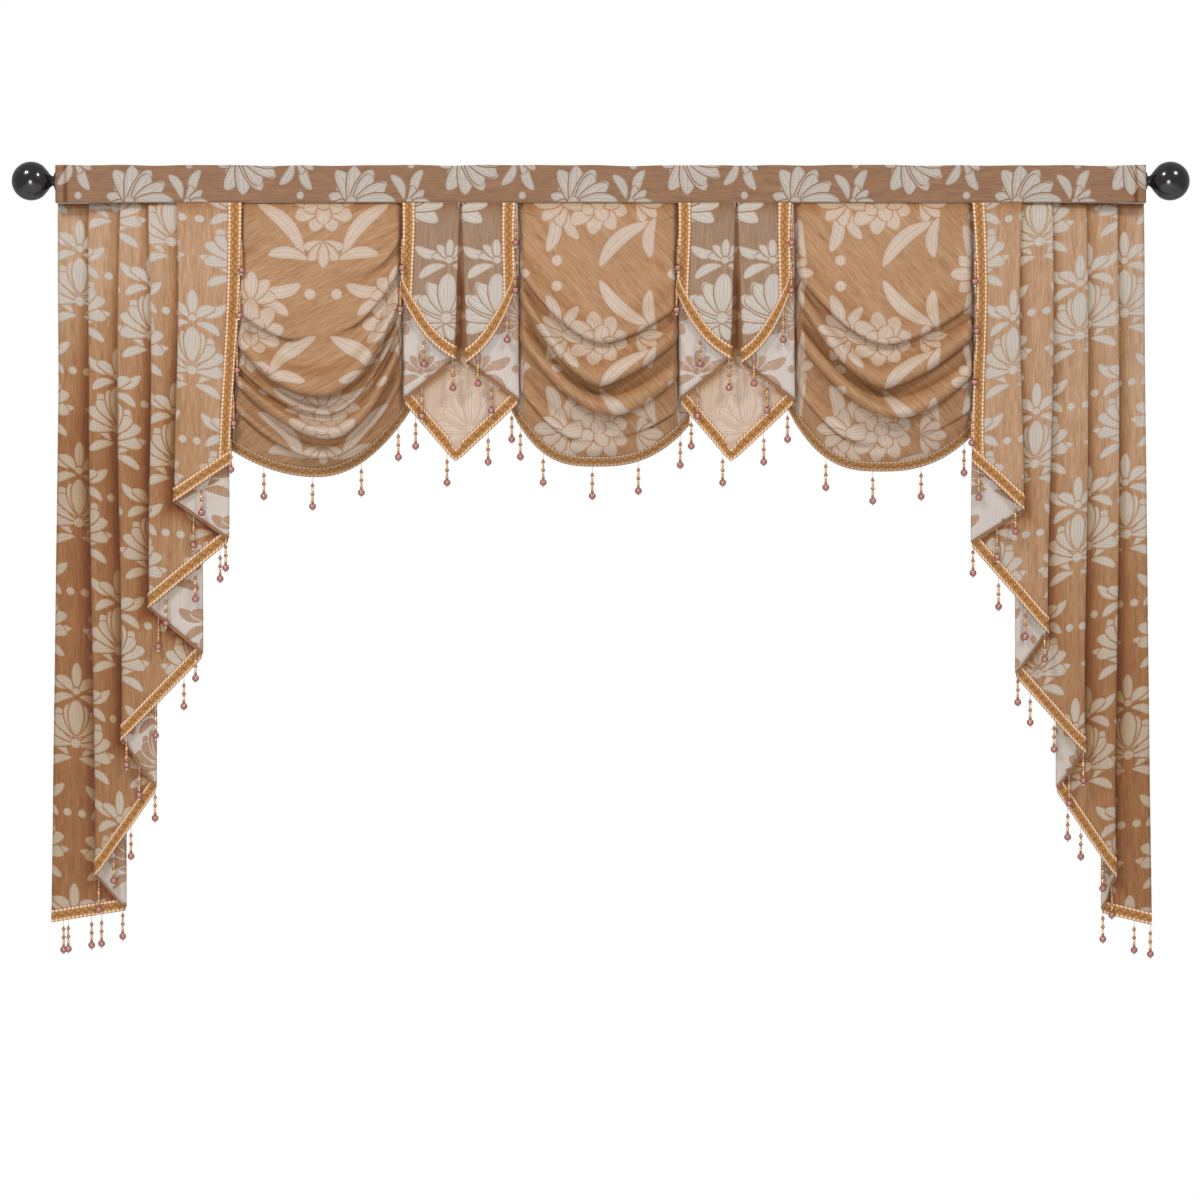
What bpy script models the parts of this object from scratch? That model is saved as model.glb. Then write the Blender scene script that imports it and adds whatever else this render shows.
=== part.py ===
"""A swag and tail drape hanging on a rod with ball finials.

Frame: metres, +Z up. The origin is on the rod's axis at mid-span, +X runs along the rod to the
viewer's right, and -Y is the side that faces the room. The cloth is modelled as it hangs: a rod
pocket heading, three swags, two jabots and two cascading tails. Each swag, jabot and tail edge
carries a flat braid with bead drops, which is one solid, like a comb.

A pleated piece (tail or jabot) is a run of straight layers joined by half-round folds in plan. Its
columns hang straight down from the heading to the hem, so the stepped hem is one cut line. A swag
is a set of sagging creases with a roll of cloth between each two of them.
"""

import math
from collections import namedtuple

import bmesh
import bpy
import numpy as np
from mathutils import Vector
from mathutils.bvhtree import BVHTree

MM = 0.001

# Rod, finials and rod pocket
ROD_RADIUS = 14 * MM
HEADING_LEFT, HEADING_RIGHT = -981 * MM, 983.5 * MM
HEADING_TOP, HEADING_BOTTOM = 28 * MM, -40 * MM
HEADING_FRONT, HEADING_SEAM_BACK = -15.8 * MM, 6.5 * MM
HEADING_STATIONS = 9
HEADER_WAVE = 0.8 * MM
BALL_RADIUS, COLLAR_RADIUS, COLLAR_REACH = 35 * MM, 16 * MM, 45 * MM

# Cloth, braid and the gaps between separate pieces
CLOTH = 1.4 * MM
SEAT = 0.3 * MM
BRAID_SEAT = 0.7 * MM
POCKET_CLEAR = 0.4 * MM
BRAID_WIDTH, BRAID_THICK, BRAID_SHOWS_BELOW = 22 * MM, 2.0 * MM, 5 * MM
TOP = HEADING_BOTTOM - SEAT
SEAM_ALLOWED = 0.4 * MM  # the braid starts this far under the cloth's top

# Bead drops: rings down a drop, as depth below its top and radius
DROP_LENGTH = 62 * MM
DROP_SIDES = 4
DROP_ROOT = 5 * MM  # how far the thread reaches up into the braid
DROP_CLEAR = 1.2 * MM
DropRing = namedtuple("DropRing", "depth radius")
DROP_RINGS = [
    DropRing(0.0, 1.3),
    DropRing(11.0, 3.0),
    DropRing(44.0, 3.0),
    DropRing(50.0, 6.2),
    DropRing(56.0, 6.2),
]

# How close the layers of a pleated piece lie: at the seam, and once they hang free
Spread = namedtuple("Spread", "front_top front_low step_top step_low radius_top radius_low length")
TAIL_SPREAD = Spread(-13.7, -13.0, 2.4, 6.2, 1.3, 4.2, 380)
JABOT_SPREAD = Spread(-13.7, -15.5, 2.9, 7.2, 1.35, 3.6, 260)

# A row for each edge or fold of a pleated piece, in its order along the cloth. x at the seam and
# at the hem, height of the hem there, order from the front, side the fold rounds to (0 for an edge
# or a point without a fold), 1 where it turns away from the room or -1 where it turns towards it,
# and how far it wanders sideways on the way down
Turn = namedtuple("Turn", "x_top x_low z_hem rank bulge turn sway")
LEFT_TAIL = [
    Turn(-645, -664, -512, -0.20, 0, 1, 3),
    Turn(-762, -763, -580, 0.0, -1, 1, 3),
    Turn(-668, -671, -650, 1.0, 1, 1, -2),
    Turn(-815, -809, -772, 2.0, -1, 1, 4),
    Turn(-720, -720, -858, 3.0, 1, 1, -3),
    Turn(-865, -869, -1012, 4.0, -1, 1, -5),
    Turn(-797, -798, -1100, 5.0, 1, 1, 4),
    Turn(-922, -917, -1258, 6.0, -1, 1, -4),
    Turn(-853, -855, -1318, 7.0, 1, 1, 3),
    Turn(-979, -993, -1340, 7.4, 0, 1, 1),
]
RIGHT_TAIL = [
    Turn(670, 676, -508, -0.20, 0, 1, 6),
    Turn(760, 759, -596, 0.0, 1, 1, -4),
    Turn(674, 671, -657, 1.0, -1, 1, 2),
    Turn(815, 811, -818, 2.0, 1, 1, 4),
    Turn(748, 747, -893, 3.0, -1, 1, -3),
    Turn(877, 880, -1035, 4.0, 1, 1, 4),
    Turn(822, 822, -1100, 5.0, -1, 1, -3),
    Turn(933, 938, -1260, 6.0, 1, 1, 5),
    Turn(905, 906, -1322, 7.0, -1, 1, -2),
    Turn(982, 1001, -1345, 7.4, 0, 1, 1),
]
# The jabot's x is measured from its own centre line
JABOT = [
    Turn(-105, -107, -206, -0.20, 0, 1, 1),
    Turn(-2.5, -11, -324, 0.0, 1, 1, 0),
    Turn(-102, -104, -399, 1.0, -1, 1, -1),
    Turn(0, -10, -509, 1.5, 0, 1, 0),
    Turn(102, 106, -399, 1.0, 1, -1, 1),
    Turn(2.5, 12, -330, 0.0, -1, -1, 0),
    Turn(99, 97, -200, -0.20, 0, -1, -1),
]
JABOT_CENTRES = {"left": -251, "right": 246}
JABOT_TIP_ROUND = 2.6 * MM
CURVE_SHARES = (0.40, 0.58, 0.78)  # where the rounded flap's hem has a column
FOLD_FACETS, RUN_FACETS = 3, 2
PLEAT_ROWS = 7

# A row for each crease of a swag, from the seam to the hem: its height at the left end, at its
# lowest point and at the right end, where it is lowest, how sharply each side rises, and how far
# the roll above it stands out at the left, in the middle and at the right
Crease = namedtuple(
    "Crease", "z_left z_low z_right x_low rise_left rise_right roll_left roll_mid roll_right"
)
LEFT_SWAG = [
    Crease(-40.3, -40.3, -40.3, -500, 2.0, 2.0, 0, 0, 0),
    Crease(-95, -190, -62, -465, 1.6, 2.2, 2, 4, 9),
    Crease(-225, -292, -120, -520, 1.8, 2.1, 16, 10, 8),
    Crease(-268, -350, -150, -510, 2.0, 2.2, 12, 22, 14),
    Crease(-310, -396, -200, -492, 1.8, 1.7, 9, 18, 14),
    Crease(-340, -460, -245, -485, 1.7, 2.1, 10, 24, 14),
    Crease(-388, -487, -325, -505, 1.7, 2.2, 12, 17, 12),
    Crease(-478, -535, -404, -510, 2.0, 2.1, 6, 9, 6),
]
INNER_SWAG = [
    Crease(-40.3, -40.3, -40.3, 0, 2.0, 2.0, 0, 0, 0),
    Crease(-52, -92, -50, 50, 1.7, 2.0, 2, 4, 5),
    Crease(-150, -290, -208, 0, 1.8, 1.6, 9, 14, 10),
    Crease(-182, -380, -264, -3, 1.6, 1.5, 12, 24, 16),
    Crease(-270, -418, -328, 22, 1.9, 1.7, 14, 16, 12),
    Crease(-345, -484, -396, -14, 1.8, 1.7, 12, 22, 14),
    Crease(-398, -516, -440, -6, 3.0, 2.6, 6, 9, 6),
]
# Where each swag hangs: its ends at the seam and at the hem, how far a table made for another
# width is shifted, and how much deeper its hem sags
Hang = namedtuple("Hang", "table left_top left_low right_top right_low shift extra")
SWAGS = {
    "left": Hang(LEFT_SWAG, -658, -677, -338, -335, 0, 0),
    "centre": Hang(INNER_SWAG, -166, -168, 159, 162, 0, 0),
    "right": Hang(INNER_SWAG, 329, 332, 684, 690, 511, 9),
}
SWAG_TUCK = 0.055  # the share at each end that lies behind its neighbour
SWAG_COLUMNS = 15
ROLL_NOSE = 0.78
ROLL_ROWS = (0.0, 0.42, 0.78)
SWAG_FADE = 0.13
SWAG_SEAM_Y, SWAG_HEM_Y = -3.5, 3.5  # how far back the ends lie
SWAG_SEAM_FRONT, SWAG_BELLY, SWAG_HEM_BELLY = 9.0, 34.0, 22.0  # how far forwards the middle lies
SWAG_FULLEST = 0.72  # the share of the way down at which the belly is fullest
SWAG_HEM_FLARE = 2 * MM

# A row for each layer of a stepped hem: how far along it, as a share, its bead drops hang
LEFT_TAIL_DROPS = [
    (0.50,), (0.35, 0.93), (0.12, 0.42, 0.78), (0.18, 0.84),
    (0.24, 0.58, 0.93), (0.50, 0.97), (0.42, 0.70), (0.10, 0.90), (0.34, 0.47, 0.78, 0.84),
]
RIGHT_TAIL_DROPS = [
    (0.12, 0.82), (0.50, 0.96), (0.36, 0.70, 0.95), (0.93,),
    (0.22, 0.56, 0.96), (0.55,), (0.20, 0.42, 0.78), (0.22, 0.93), (0.66, 0.97),
]
JABOT_DROPS = [(0.42, 0.95), (0.64,), (0.24, 0.84), (0.50, 0.87), (0.54,), (0.24, 0.85)]
# Heights of the drops down each free hanging edge, and shares along each swag's hem
LEFT_EDGE_DROPS = (-110, -200, -290, -385, -468)
RIGHT_EDGE_DROPS = (-130, -220, -312, -420)
JABOT_LEFT_DROPS, JABOT_RIGHT_DROPS = (-106, -182), (-60, -146)
SWAG_DROPS = {
    "left": (0.21, 0.467, 0.722, 0.915),
    "centre": (0.076, 0.20, 0.467, 0.718, 0.945),
    "right": (0.21, 0.444, 0.687, 0.905),
}


# ---------------------------------------------------------------- objects and materials

def clear_scene():
    for old in list(bpy.data.objects):
        bpy.data.objects.remove(old, do_unlink=True)


def material(name, colour, roughness, metallic=0.0):
    made = bpy.data.materials.new(name)
    made.use_nodes = True
    shader = made.node_tree.nodes["Principled BSDF"]
    shader.inputs["Base Color"].default_value = (*colour, 1.0)
    shader.inputs["Roughness"].default_value = roughness
    shader.inputs["Metallic"].default_value = metallic
    return made


def mesh_object(name, points, faces, finish, smooth=False):
    """A mesh object whose faces are turned outwards."""
    mesh = bpy.data.meshes.new(name)
    mesh.from_pydata([tuple(p) for p in points], [], faces)
    shape = bmesh.new()
    shape.from_mesh(mesh)
    bmesh.ops.recalc_face_normals(shape, faces=shape.faces)
    shape.to_mesh(mesh)
    shape.free()
    mesh.materials.append(finish)
    if smooth:
        mesh.shade_smooth()
        mesh.set_sharp_from_angle(angle=math.radians(50))
    made = bpy.data.objects.new(name, mesh)
    bpy.context.scene.collection.objects.link(made)
    return made


def smooth_step(t):
    t = np.clip(t, 0.0, 1.0)
    return t * t * (3.0 - 2.0 * t)


# ---------------------------------------------------------------- rod, finials and heading

def turned(name, profile, sides, finish):
    """A solid turned about the X axis; its profile is (x, radius) from one pole to the other."""
    rings = [
        [(x, r * math.cos(a), r * math.sin(a)) for a in np.arange(sides) * 2 * math.pi / sides]
        for x, r in profile[1:-1]
    ]
    points = [(profile[0][0], 0, 0)] + sum(rings, []) + [(profile[-1][0], 0, 0)]
    last = len(points) - 1
    faces = []
    for k in range(sides):
        n = (k + 1) % sides
        faces.append((0, 1 + k, 1 + n))
        for ring in range(len(rings) - 1):
            low, high = 1 + ring * sides, 1 + (ring + 1) * sides
            faces.append((low + k, high + k, high + n, low + n))
        end = 1 + (len(rings) - 1) * sides
        faces.append((last, end + n, end + k))
    return mesh_object(name, points, faces, finish, smooth=True)


def make_rod(finish):
    left, right = HEADING_LEFT - 0.2 * MM, HEADING_RIGHT + 0.2 * MM
    profile = [(left, 0), (left, ROD_RADIUS), (right, ROD_RADIUS), (right, 0)]
    return turned("rod", profile, 28, finish)


def make_finial(side, finish):
    """A ball that narrows to a neck and flares to a collar against the rod's end."""
    rod_end = (HEADING_LEFT if side < 0 else HEADING_RIGHT) + side * 0.5 * MM
    centre = rod_end + side * COLLAR_REACH
    angles = np.radians([20, 38, 56, 74, 92, 110, 128])
    ball = [(-BALL_RADIUS * math.cos(a), BALL_RADIUS * math.sin(a)) for a in angles]
    neck = [(30 * MM, 18 * MM), (36 * MM, 10.5 * MM), (39 * MM, 9 * MM), (41.5 * MM, 12 * MM)]
    collar = [(43 * MM, COLLAR_RADIUS), (COLLAR_REACH, COLLAR_RADIUS)]
    reach = [(-BALL_RADIUS, 0)] + ball + neck + collar + [(COLLAR_REACH, 0)]
    profile = [(centre - side * s, r) for s, r in reach]
    return turned("finial_" + ("left" if side < 0 else "right"), profile, 20, finish)


def heading_section():
    """The rod pocket's outer and inner outlines as (y, z), each starting at the front seam."""
    inner_radius = ROD_RADIUS + POCKET_CLEAR
    front_in = HEADING_FRONT + CLOTH
    header_back = HEADING_FRONT + 2 * CLOTH

    def arc(radius, first, last, steps):
        turns = np.radians(np.linspace(first, last, steps))
        return [(radius * math.cos(a), radius * math.sin(a)) for a in turns]

    outer = [(HEADING_FRONT, HEADING_BOTTOM), (HEADING_FRONT, HEADING_TOP),
             (header_back, HEADING_TOP), (header_back, 18.5 * MM)]
    outer += arc(inner_radius + CLOTH, 104, -18, 11)
    outer += [(HEADING_SEAM_BACK, HEADING_BOTTOM)]
    floor = HEADING_BOTTOM + 1.6 * CLOTH
    inner = [(front_in, floor), (front_in, 17.4 * MM)]
    inner += [(front_in + 0.8 * MM, 17.2 * MM)]
    inner += arc(inner_radius, 104, -18, 11)
    inner += [(HEADING_SEAM_BACK - CLOTH, floor)]
    return outer, inner


def make_heading(finish):
    outer, inner = heading_section()
    stations = np.linspace(HEADING_LEFT, HEADING_RIGHT, HEADING_STATIONS)
    points, faces = [], []
    loops = []
    for number, x in enumerate(stations):
        wave = HEADER_WAVE * math.sin(2.3 * number)
        for outline in (outer, inner):
            loops.append(range(len(points), len(points) + len(outline)))
            points += [(x, y, z + (wave if z > 20 * MM else 0.0)) for y, z in outline]
    for station in range(HEADING_STATIONS - 1):
        for which in (0, 1):
            near, far = loops[2 * station + which], loops[2 * station + 2 + which]
            count = len(near)
            for k in range(count):
                n = (k + 1) % count
                faces.append((near[k], near[n], far[n], far[k]))
    made = mesh_object("heading", points, faces, finish)
    close_ends(made.data, (HEADING_LEFT, HEADING_RIGHT))
    return made


def close_ends(mesh, places):
    """Fills the ring between the outer and inner outlines at each end."""
    shape = bmesh.new()
    shape.from_mesh(mesh)
    for x in places:
        rim = [e for e in shape.edges if e.is_boundary and abs(e.verts[0].co.x - x) < MM]
        bmesh.ops.triangle_fill(shape, edges=rim, use_beauty=True)
    bmesh.ops.recalc_face_normals(shape, faces=shape.faces)
    shape.to_mesh(mesh)
    shape.free()


# ---------------------------------------------------------------- cloth sheets

Sheet = namedtuple("Sheet", "grid normal cloth braid")


def grid_normals(grid):
    """Unit normals on the face side of the cloth, which starts out facing the room."""
    across = np.gradient(grid, axis=1)
    down = np.gradient(grid, axis=0)
    normal = np.cross(across, down)
    normal[0, :, 2] = 0.0  # the top edge is square to the seam above it
    normal /= np.linalg.norm(normal, axis=2, keepdims=True)
    return normal if normal[0, 0, 1] < 0 else -normal


def thick_cells(grid, normal, cells, near, far):
    """Points and faces of the chosen cells of a grid, made solid between two offsets."""
    rows, columns = grid.shape[:2]
    use = np.zeros((rows, columns), bool)
    for a, b in ((0, 0), (1, 0), (0, 1), (1, 1)):
        use[a:rows - 1 + a, b:columns - 1 + b] |= cells
    index = -np.ones((rows, columns), int)
    index[use] = np.arange(use.sum())
    count = int(use.sum())
    points = np.concatenate([(grid + normal * near)[use], (grid + normal * far)[use]])
    faces = []
    padded = np.zeros((rows + 1, columns + 1), bool)
    padded[1:rows, 1:columns] = cells
    for i, j in zip(*np.nonzero(cells)):
        a, b, c, d = index[i, j], index[i, j + 1], index[i + 1, j + 1], index[i + 1, j]
        faces.append((a, b, c, d))
        faces.append((d + count, c + count, b + count, a + count))
        sides = (
            (padded[i, j + 1], b, a),
            (padded[i + 1, j + 2], c, b),
            (padded[i + 2, j + 1], d, c),
            (padded[i + 1, j], a, d),
        )
        faces += [(p, q, q + count, p + count) for kept, p, q in sides if not kept]
    return points, [tuple(int(k) for k in face) for face in faces]


def cloth_solid(sheet):
    return thick_cells(sheet.grid, sheet.normal, sheet.cloth, -CLOTH / 2, CLOTH / 2)


def braid_solid(sheet):
    near = CLOTH / 2 + BRAID_SEAT
    grid = sheet.grid.copy()
    grid[0, :, 2] -= SEAM_ALLOWED
    return thick_cells(grid, sheet.normal, sheet.braid, near, near + BRAID_THICK)


def pleat_columns(turns, braid_ends):
    """Where the columns of a pleated sheet lie: two rows of the table, each with an angle round
    its fold, and the share of the way from the first to the second."""
    columns = []
    count = len(turns)
    for k, row in enumerate(turns):
        angles = np.linspace(-90, 90, FOLD_FACETS + 1) if row.bulge else [0.0]
        columns += [(k, a, k, a, 0.0) for a in angles]
        if k == count - 1:
            break
        leave = 90.0 if row.bulge else 0.0
        arrive = -90.0 if turns[k + 1].bulge else 0.0
        length = abs(turns[k + 1].x_low - row.x_low) * MM
        edge, band = BRAID_SHOWS_BELOW / length, BRAID_WIDTH / length
        if k == 0:
            shares = [edge, band, *(CURVE_SHARES if braid_ends else [0.5 + band / 2])]
        elif k == count - 2 and braid_ends:
            shares = [*(1 - s for s in reversed(CURVE_SHARES)), 1 - band, 1 - edge]
        else:
            shares = np.linspace(0, 1, RUN_FACETS + 1)[1:-1]
        columns += [(k, leave, k + 1, arrive, float(s)) for s in shares]
    return columns


def fold_point(turns, k, angle, z, spread):
    """The place on fold k at height z: a half round of the spread's radius. An edge has no
    round, and lies as far out of the stack as the layer that ends there."""
    row = np.array([turns[i] for i in k], float).T
    x_top, x_low, z_hem, rank, bulge, turn, sway = row
    down = np.clip((TOP - z) / (TOP - z_hem * MM), 0.0, 1.1)
    loose = smooth_step((TOP - z) / (spread.length * MM))
    front = spread.front_top + (spread.front_low - spread.front_top) * loose
    step = spread.step_top + (spread.step_low - spread.step_top) * loose
    radius = spread.radius_top + (spread.radius_low - spread.radius_top) * loose
    radius = np.where(bulge == 0, 0.0, radius)
    lift = np.where(bulge == 0, spread.radius_top * 0.8, 0.0)
    x = x_top + (x_low - x_top) * down + sway * np.sin(1.6 * math.pi * down)
    turned_by = np.radians(angle)
    x = x - bulge * radius * (1 - np.cos(turned_by))
    y = front + rank * step + turn * radius * np.sin(turned_by) - np.where(rank < 1, lift, -lift)
    return x * MM, y * MM


def pleat_grid(turns, columns, spread, heights):
    """The sheet's points for a list of heights, each a value for every column."""
    first = [c[0] for c in columns]
    second = [c[2] for c in columns]
    leave = np.array([c[1] for c in columns])
    arrive = np.array([c[3] for c in columns])
    share = np.array([c[4] for c in columns])
    grid = np.zeros((len(heights), len(columns), 3))
    for i, z in enumerate(heights):
        xa, ya = fold_point(turns, first, leave, z, spread)
        xb, yb = fold_point(turns, second, arrive, z, spread)
        grid[i, :, 0] = xa + (xb - xa) * share
        grid[i, :, 1] = ya + (yb - ya) * share
        grid[i, :, 2] = z
    return grid


def rounded_cut(share):
    """The drop of a flap's hem from its outer edge (0) to its tip (1): half of it is straight and
    half of it falls off early, as 1 - (1 - share)^3."""
    return 0.5 * share + 0.5 * (1 - (1 - share) ** 3)


def pleat_hem(turns, columns, spread, rounded=False):
    """The height of the hem at each column: straight cuts from fold to fold in the flat cloth.
    Where the hem is rounded, the first and last of them are curved cuts instead."""
    free = np.full(len(columns), TOP - spread.length * MM)
    path = pleat_grid(turns, columns, spread, [free])[0, :, :2]
    along = np.concatenate([[0], np.cumsum(np.linalg.norm(np.diff(path, axis=0), axis=1))])
    middles = []
    for k in range(len(turns)):
        mine = [along[i] for i, c in enumerate(columns) if c[0] == k and c[2] == k]
        middles.append(sum(mine) / len(mine))
    heights = np.array([row.z_hem * MM for row in turns])
    hem = np.interp(along, middles, heights)
    if rounded:
        first = np.clip(along / middles[1], 0, 1)
        last = np.clip((middles[-1] - along) / (middles[-1] - middles[-2]), 0, 1)
        hem = np.where(first < 1, heights[0] + (heights[1] - heights[0]) * rounded_cut(first), hem)
        hem = np.where(last < 1, heights[-1] + (heights[-2] - heights[-1]) * rounded_cut(last), hem)
    return along, np.array(middles), hem


def pleated_sheet(turns, spread, braid_ends, centre=0.0, tip_round=0.0):
    columns = pleat_columns(turns, braid_ends)
    along, middles, hem = pleat_hem(turns, columns, spread, braid_ends)
    slope = np.gradient(hem, along)
    if tip_round:
        low = int(np.argmin(hem))
        slope[low] = 0.0
        hem[low] += tip_round
    lean = np.clip(np.sqrt(1 + slope**2), 1.0, 1.7)
    band = hem + BRAID_WIDTH * lean
    edge = hem + BRAID_SHOWS_BELOW * lean
    heights = [TOP + (band - TOP) * t for t in np.linspace(0, 1, PLEAT_ROWS + 1)] + [edge, hem]
    grid = pleat_grid(turns, columns, spread, heights)
    grid[:, :, 0] += centre * MM
    rows, count = len(heights) - 1, len(columns) - 1
    cloth = np.ones((rows, count), bool)
    cloth[-1, :] = False
    cloth[:, 0] = False
    braid = np.zeros((rows, count), bool)
    braid[-2:, :] = True
    braid[:, :2] = True
    if braid_ends:
        cloth[:, -1] = False
        braid[:, -2:] = True
    return Sheet(grid, grid_normals(grid), cloth, braid), along, middles


def crease_height(row, x, left, right, shift):
    """A crease sags from both ends to its lowest point, along a power curve on each side."""
    low = row.x_low + shift
    near = np.clip((low - x) / (low - left), 0, None) ** row.rise_left
    far = np.clip((x - low) / (right - low), 0, None) ** row.rise_right
    return row.z_low + (row.z_left - row.z_low) * near + (row.z_right - row.z_low) * far


def roll_profile(share):
    """How far a roll stands out, from one crease (0) over its nose to the next crease (1)."""
    up = np.sin(0.5 * math.pi * np.clip(share / ROLL_NOSE, 0, 1)) ** 1.25
    under = np.cos(0.5 * math.pi * np.clip((share - ROLL_NOSE) / (1 - ROLL_NOSE), 0, 1))
    return np.where(share <= ROLL_NOSE, up, under)


def swag_row(hang, level):
    """One row of a swag from end to end. Level counts creases from the seam, and its fraction is
    the share of the way over the roll to the next crease."""
    table = hang.table
    last = len(table) - 1
    k = min(int(level), last - 1)
    share, down = level - k, level / last
    u = np.linspace(0, 1, SWAG_COLUMNS + 1)
    left = hang.left_top + (hang.left_low - hang.left_top) * down
    right = hang.right_top + (hang.right_low - hang.right_top) * down
    x = left + (right - left) * u
    above = crease_height(table[k], x, left, right, hang.shift)
    below = crease_height(table[k + 1], x, left, right, hang.shift)
    z = above + (below - above) * share - hang.extra * down * np.sin(math.pi * u)

    inner = np.clip((u - SWAG_TUCK) / (1 - 2 * SWAG_TUCK), 0, 1)
    fade = smooth_step(inner / SWAG_FADE) * smooth_step((1 - inner) / SWAG_FADE)
    rolls = table[k + 1]
    middle = 1 - np.abs(2 * u - 1)
    side = np.where(u < 0.5, rolls.roll_left, rolls.roll_right)
    roll = (side + (rolls.roll_mid - side) * middle) * roll_profile(share)
    fullest = min(down, SWAG_FULLEST)
    belly = SWAG_BELLY * math.sin(0.5 * math.pi * fullest / SWAG_FULLEST) ** 0.8
    belly -= (SWAG_BELLY - SWAG_HEM_BELLY) * (down - fullest) / (1 - SWAG_FULLEST)
    seam = SWAG_SEAM_FRONT * (1 - down)
    back = SWAG_SEAM_Y + (SWAG_HEM_Y - SWAG_SEAM_Y) * min(1.0, 2 * down)
    y = back - belly * np.sin(math.pi * inner) ** 1.3 - (seam + roll) * fade
    return np.stack([x, y, z], axis=1) * MM


def swag_sheet(hang):
    last = len(hang.table) - 1
    levels = [k + share for k in range(last - 1) for share in ROLL_ROWS] + [last - 1]
    rows = [swag_row(hang, level) for level in levels]
    hem = swag_row(hang, last)
    slope = np.gradient(hem[:, 2], hem[:, 0])
    for lift in (BRAID_WIDTH, BRAID_SHOWS_BELOW, 0.0):
        row = hem.copy()
        row[:, 1] += SWAG_HEM_FLARE * lift / BRAID_WIDTH
        row[:, 2] += lift * np.clip(np.sqrt(1 + slope**2), 1, 1.5)
        rows.append(row)
    grid = np.array(rows)
    count, across = grid.shape[0] - 1, grid.shape[1] - 1
    cloth = np.ones((count, across), bool)
    cloth[-1, :] = False
    braid = np.zeros((count, across), bool)
    braid[-2:, :] = True
    return Sheet(grid, grid_normals(grid), cloth, braid)


# ---------------------------------------------------------------- bead drops

def tree_of(solids):
    """A search tree over the given solids, for finding what a drop would lie against."""
    points, faces = [], []
    for more_points, more_faces in solids:
        base = len(points)
        points += [Vector(p) for p in more_points]
        faces += [tuple(k + base for k in face) for face in more_faces]
    return BVHTree.FromPolygons(points, faces)


def front_of(tree, x, z):
    """How far forward the first surface lies at this place, or None where there is none."""
    hit = tree.ray_cast(Vector((x, -1.0, z)), Vector((0.0, 1.0, 0.0)))[0]
    return hit.y if hit else None


def hang_drop(tree, place):
    """The lower end of a drop: straight down, or leaning forwards off what lies behind it."""
    low_y = place[1]
    for ring in DROP_RINGS[2:]:
        share = ring.depth * MM / DROP_LENGTH
        for aside in (-ring.radius, 0.0, ring.radius):
            front = front_of(tree, place[0] + aside * MM, place[2] - ring.depth * MM)
            if front is not None:
                need = front - ring.radius * MM - DROP_CLEAR
                low_y = min(low_y, place[1] + (need - place[1]) / share)
    return np.array([place[0], low_y, place[2] - DROP_LENGTH])


def drop_mesh(top, bottom):
    """A thread with its beads and end pearl as one turned form between two points."""
    axis = (bottom - top) / np.linalg.norm(bottom - top)
    side = np.cross(axis, (1.0, 0.0, 0.0))
    side /= np.linalg.norm(side)
    other = np.cross(axis, side)
    turns = np.arange(DROP_SIDES) * 2 * math.pi / DROP_SIDES
    circle = np.outer(np.cos(turns), side) + np.outer(np.sin(turns), other)
    points = [top + axis * (r.depth * MM) + circle * (r.radius * MM) for r in DROP_RINGS]
    points[0] -= axis * DROP_ROOT
    points = np.concatenate(points + [[bottom]])
    faces = [tuple(range(DROP_SIDES))[::-1]]
    for ring in range(len(DROP_RINGS) - 1):
        low = ring * DROP_SIDES
        for k in range(DROP_SIDES):
            n = (k + 1) % DROP_SIDES
            faces.append((low + k, low + n, low + DROP_SIDES + n, low + DROP_SIDES + k))
    low = (len(DROP_RINGS) - 1) * DROP_SIDES
    for k in range(DROP_SIDES):
        faces.append((low + k, low + (k + 1) % DROP_SIDES, len(points) - 1))
    return points, faces


def braid_front(sheet, share_along, row=-1):
    """A point in the middle of the braid's thickness on one row of the sheet."""
    out = CLOTH / 2 + BRAID_SEAT + BRAID_THICK / 2
    line = sheet.grid[row] + sheet.normal[row] * out
    column = share_along * (len(line) - 1)
    k = min(int(column), len(line) - 2)
    return line[k] + (line[k + 1] - line[k]) * (column - k)


def hem_places(sheet, along, middles, table):
    """Drops on a stepped hem: the table gives shares of each layer, from fold to fold."""
    places = []
    columns = np.arange(len(along)) / (len(along) - 1)
    for k, shares in enumerate(table):
        for share in shares:
            at = middles[k] + (middles[k + 1] - middles[k]) * share
            places.append(braid_front(sheet, float(np.interp(at, along, columns))))
    return places


def edge_places(sheet, heights, column):
    """Drops on a hanging edge, just off the braid's outer side."""
    out = CLOTH / 2 + BRAID_SEAT + BRAID_THICK / 2
    line = sheet.grid[:, column] + sheet.normal[:, column] * out
    outward = np.sign(sheet.grid[0, column, 0] - sheet.grid[0, column - 1 if column else 1, 0])
    places = []
    for z in heights:
        share = -z * MM
        x = np.interp(share, -line[:, 2], line[:, 0]) - outward * 0.6 * MM
        y = np.interp(share, -line[:, 2], line[:, 1])
        places.append(np.array([x, y, z * MM]))
    return places


def make_trim(name, sheet, places, tree, finish):
    """The braid with its drops as one solid."""
    points, faces = braid_solid(sheet)
    strip = mesh_object(name, points, faces, finish)
    all_points, all_faces = [], []
    for place in places:
        base = sum(len(p) for p in all_points)
        drop_points, drop_faces = drop_mesh(place, hang_drop(tree, place))
        all_points.append(drop_points)
        all_faces += [tuple(k + base for k in face) for face in drop_faces]
    drops = mesh_object(name + "_drops", np.concatenate(all_points), all_faces, finish)
    drops.hide_render = True
    drops.display_type = "WIRE"
    join = strip.modifiers.new("drops", "BOOLEAN")
    join.operation = "UNION"
    join.solver = "EXACT"
    join.object = drops
    return strip


# ---------------------------------------------------------------- the whole drape

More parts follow.
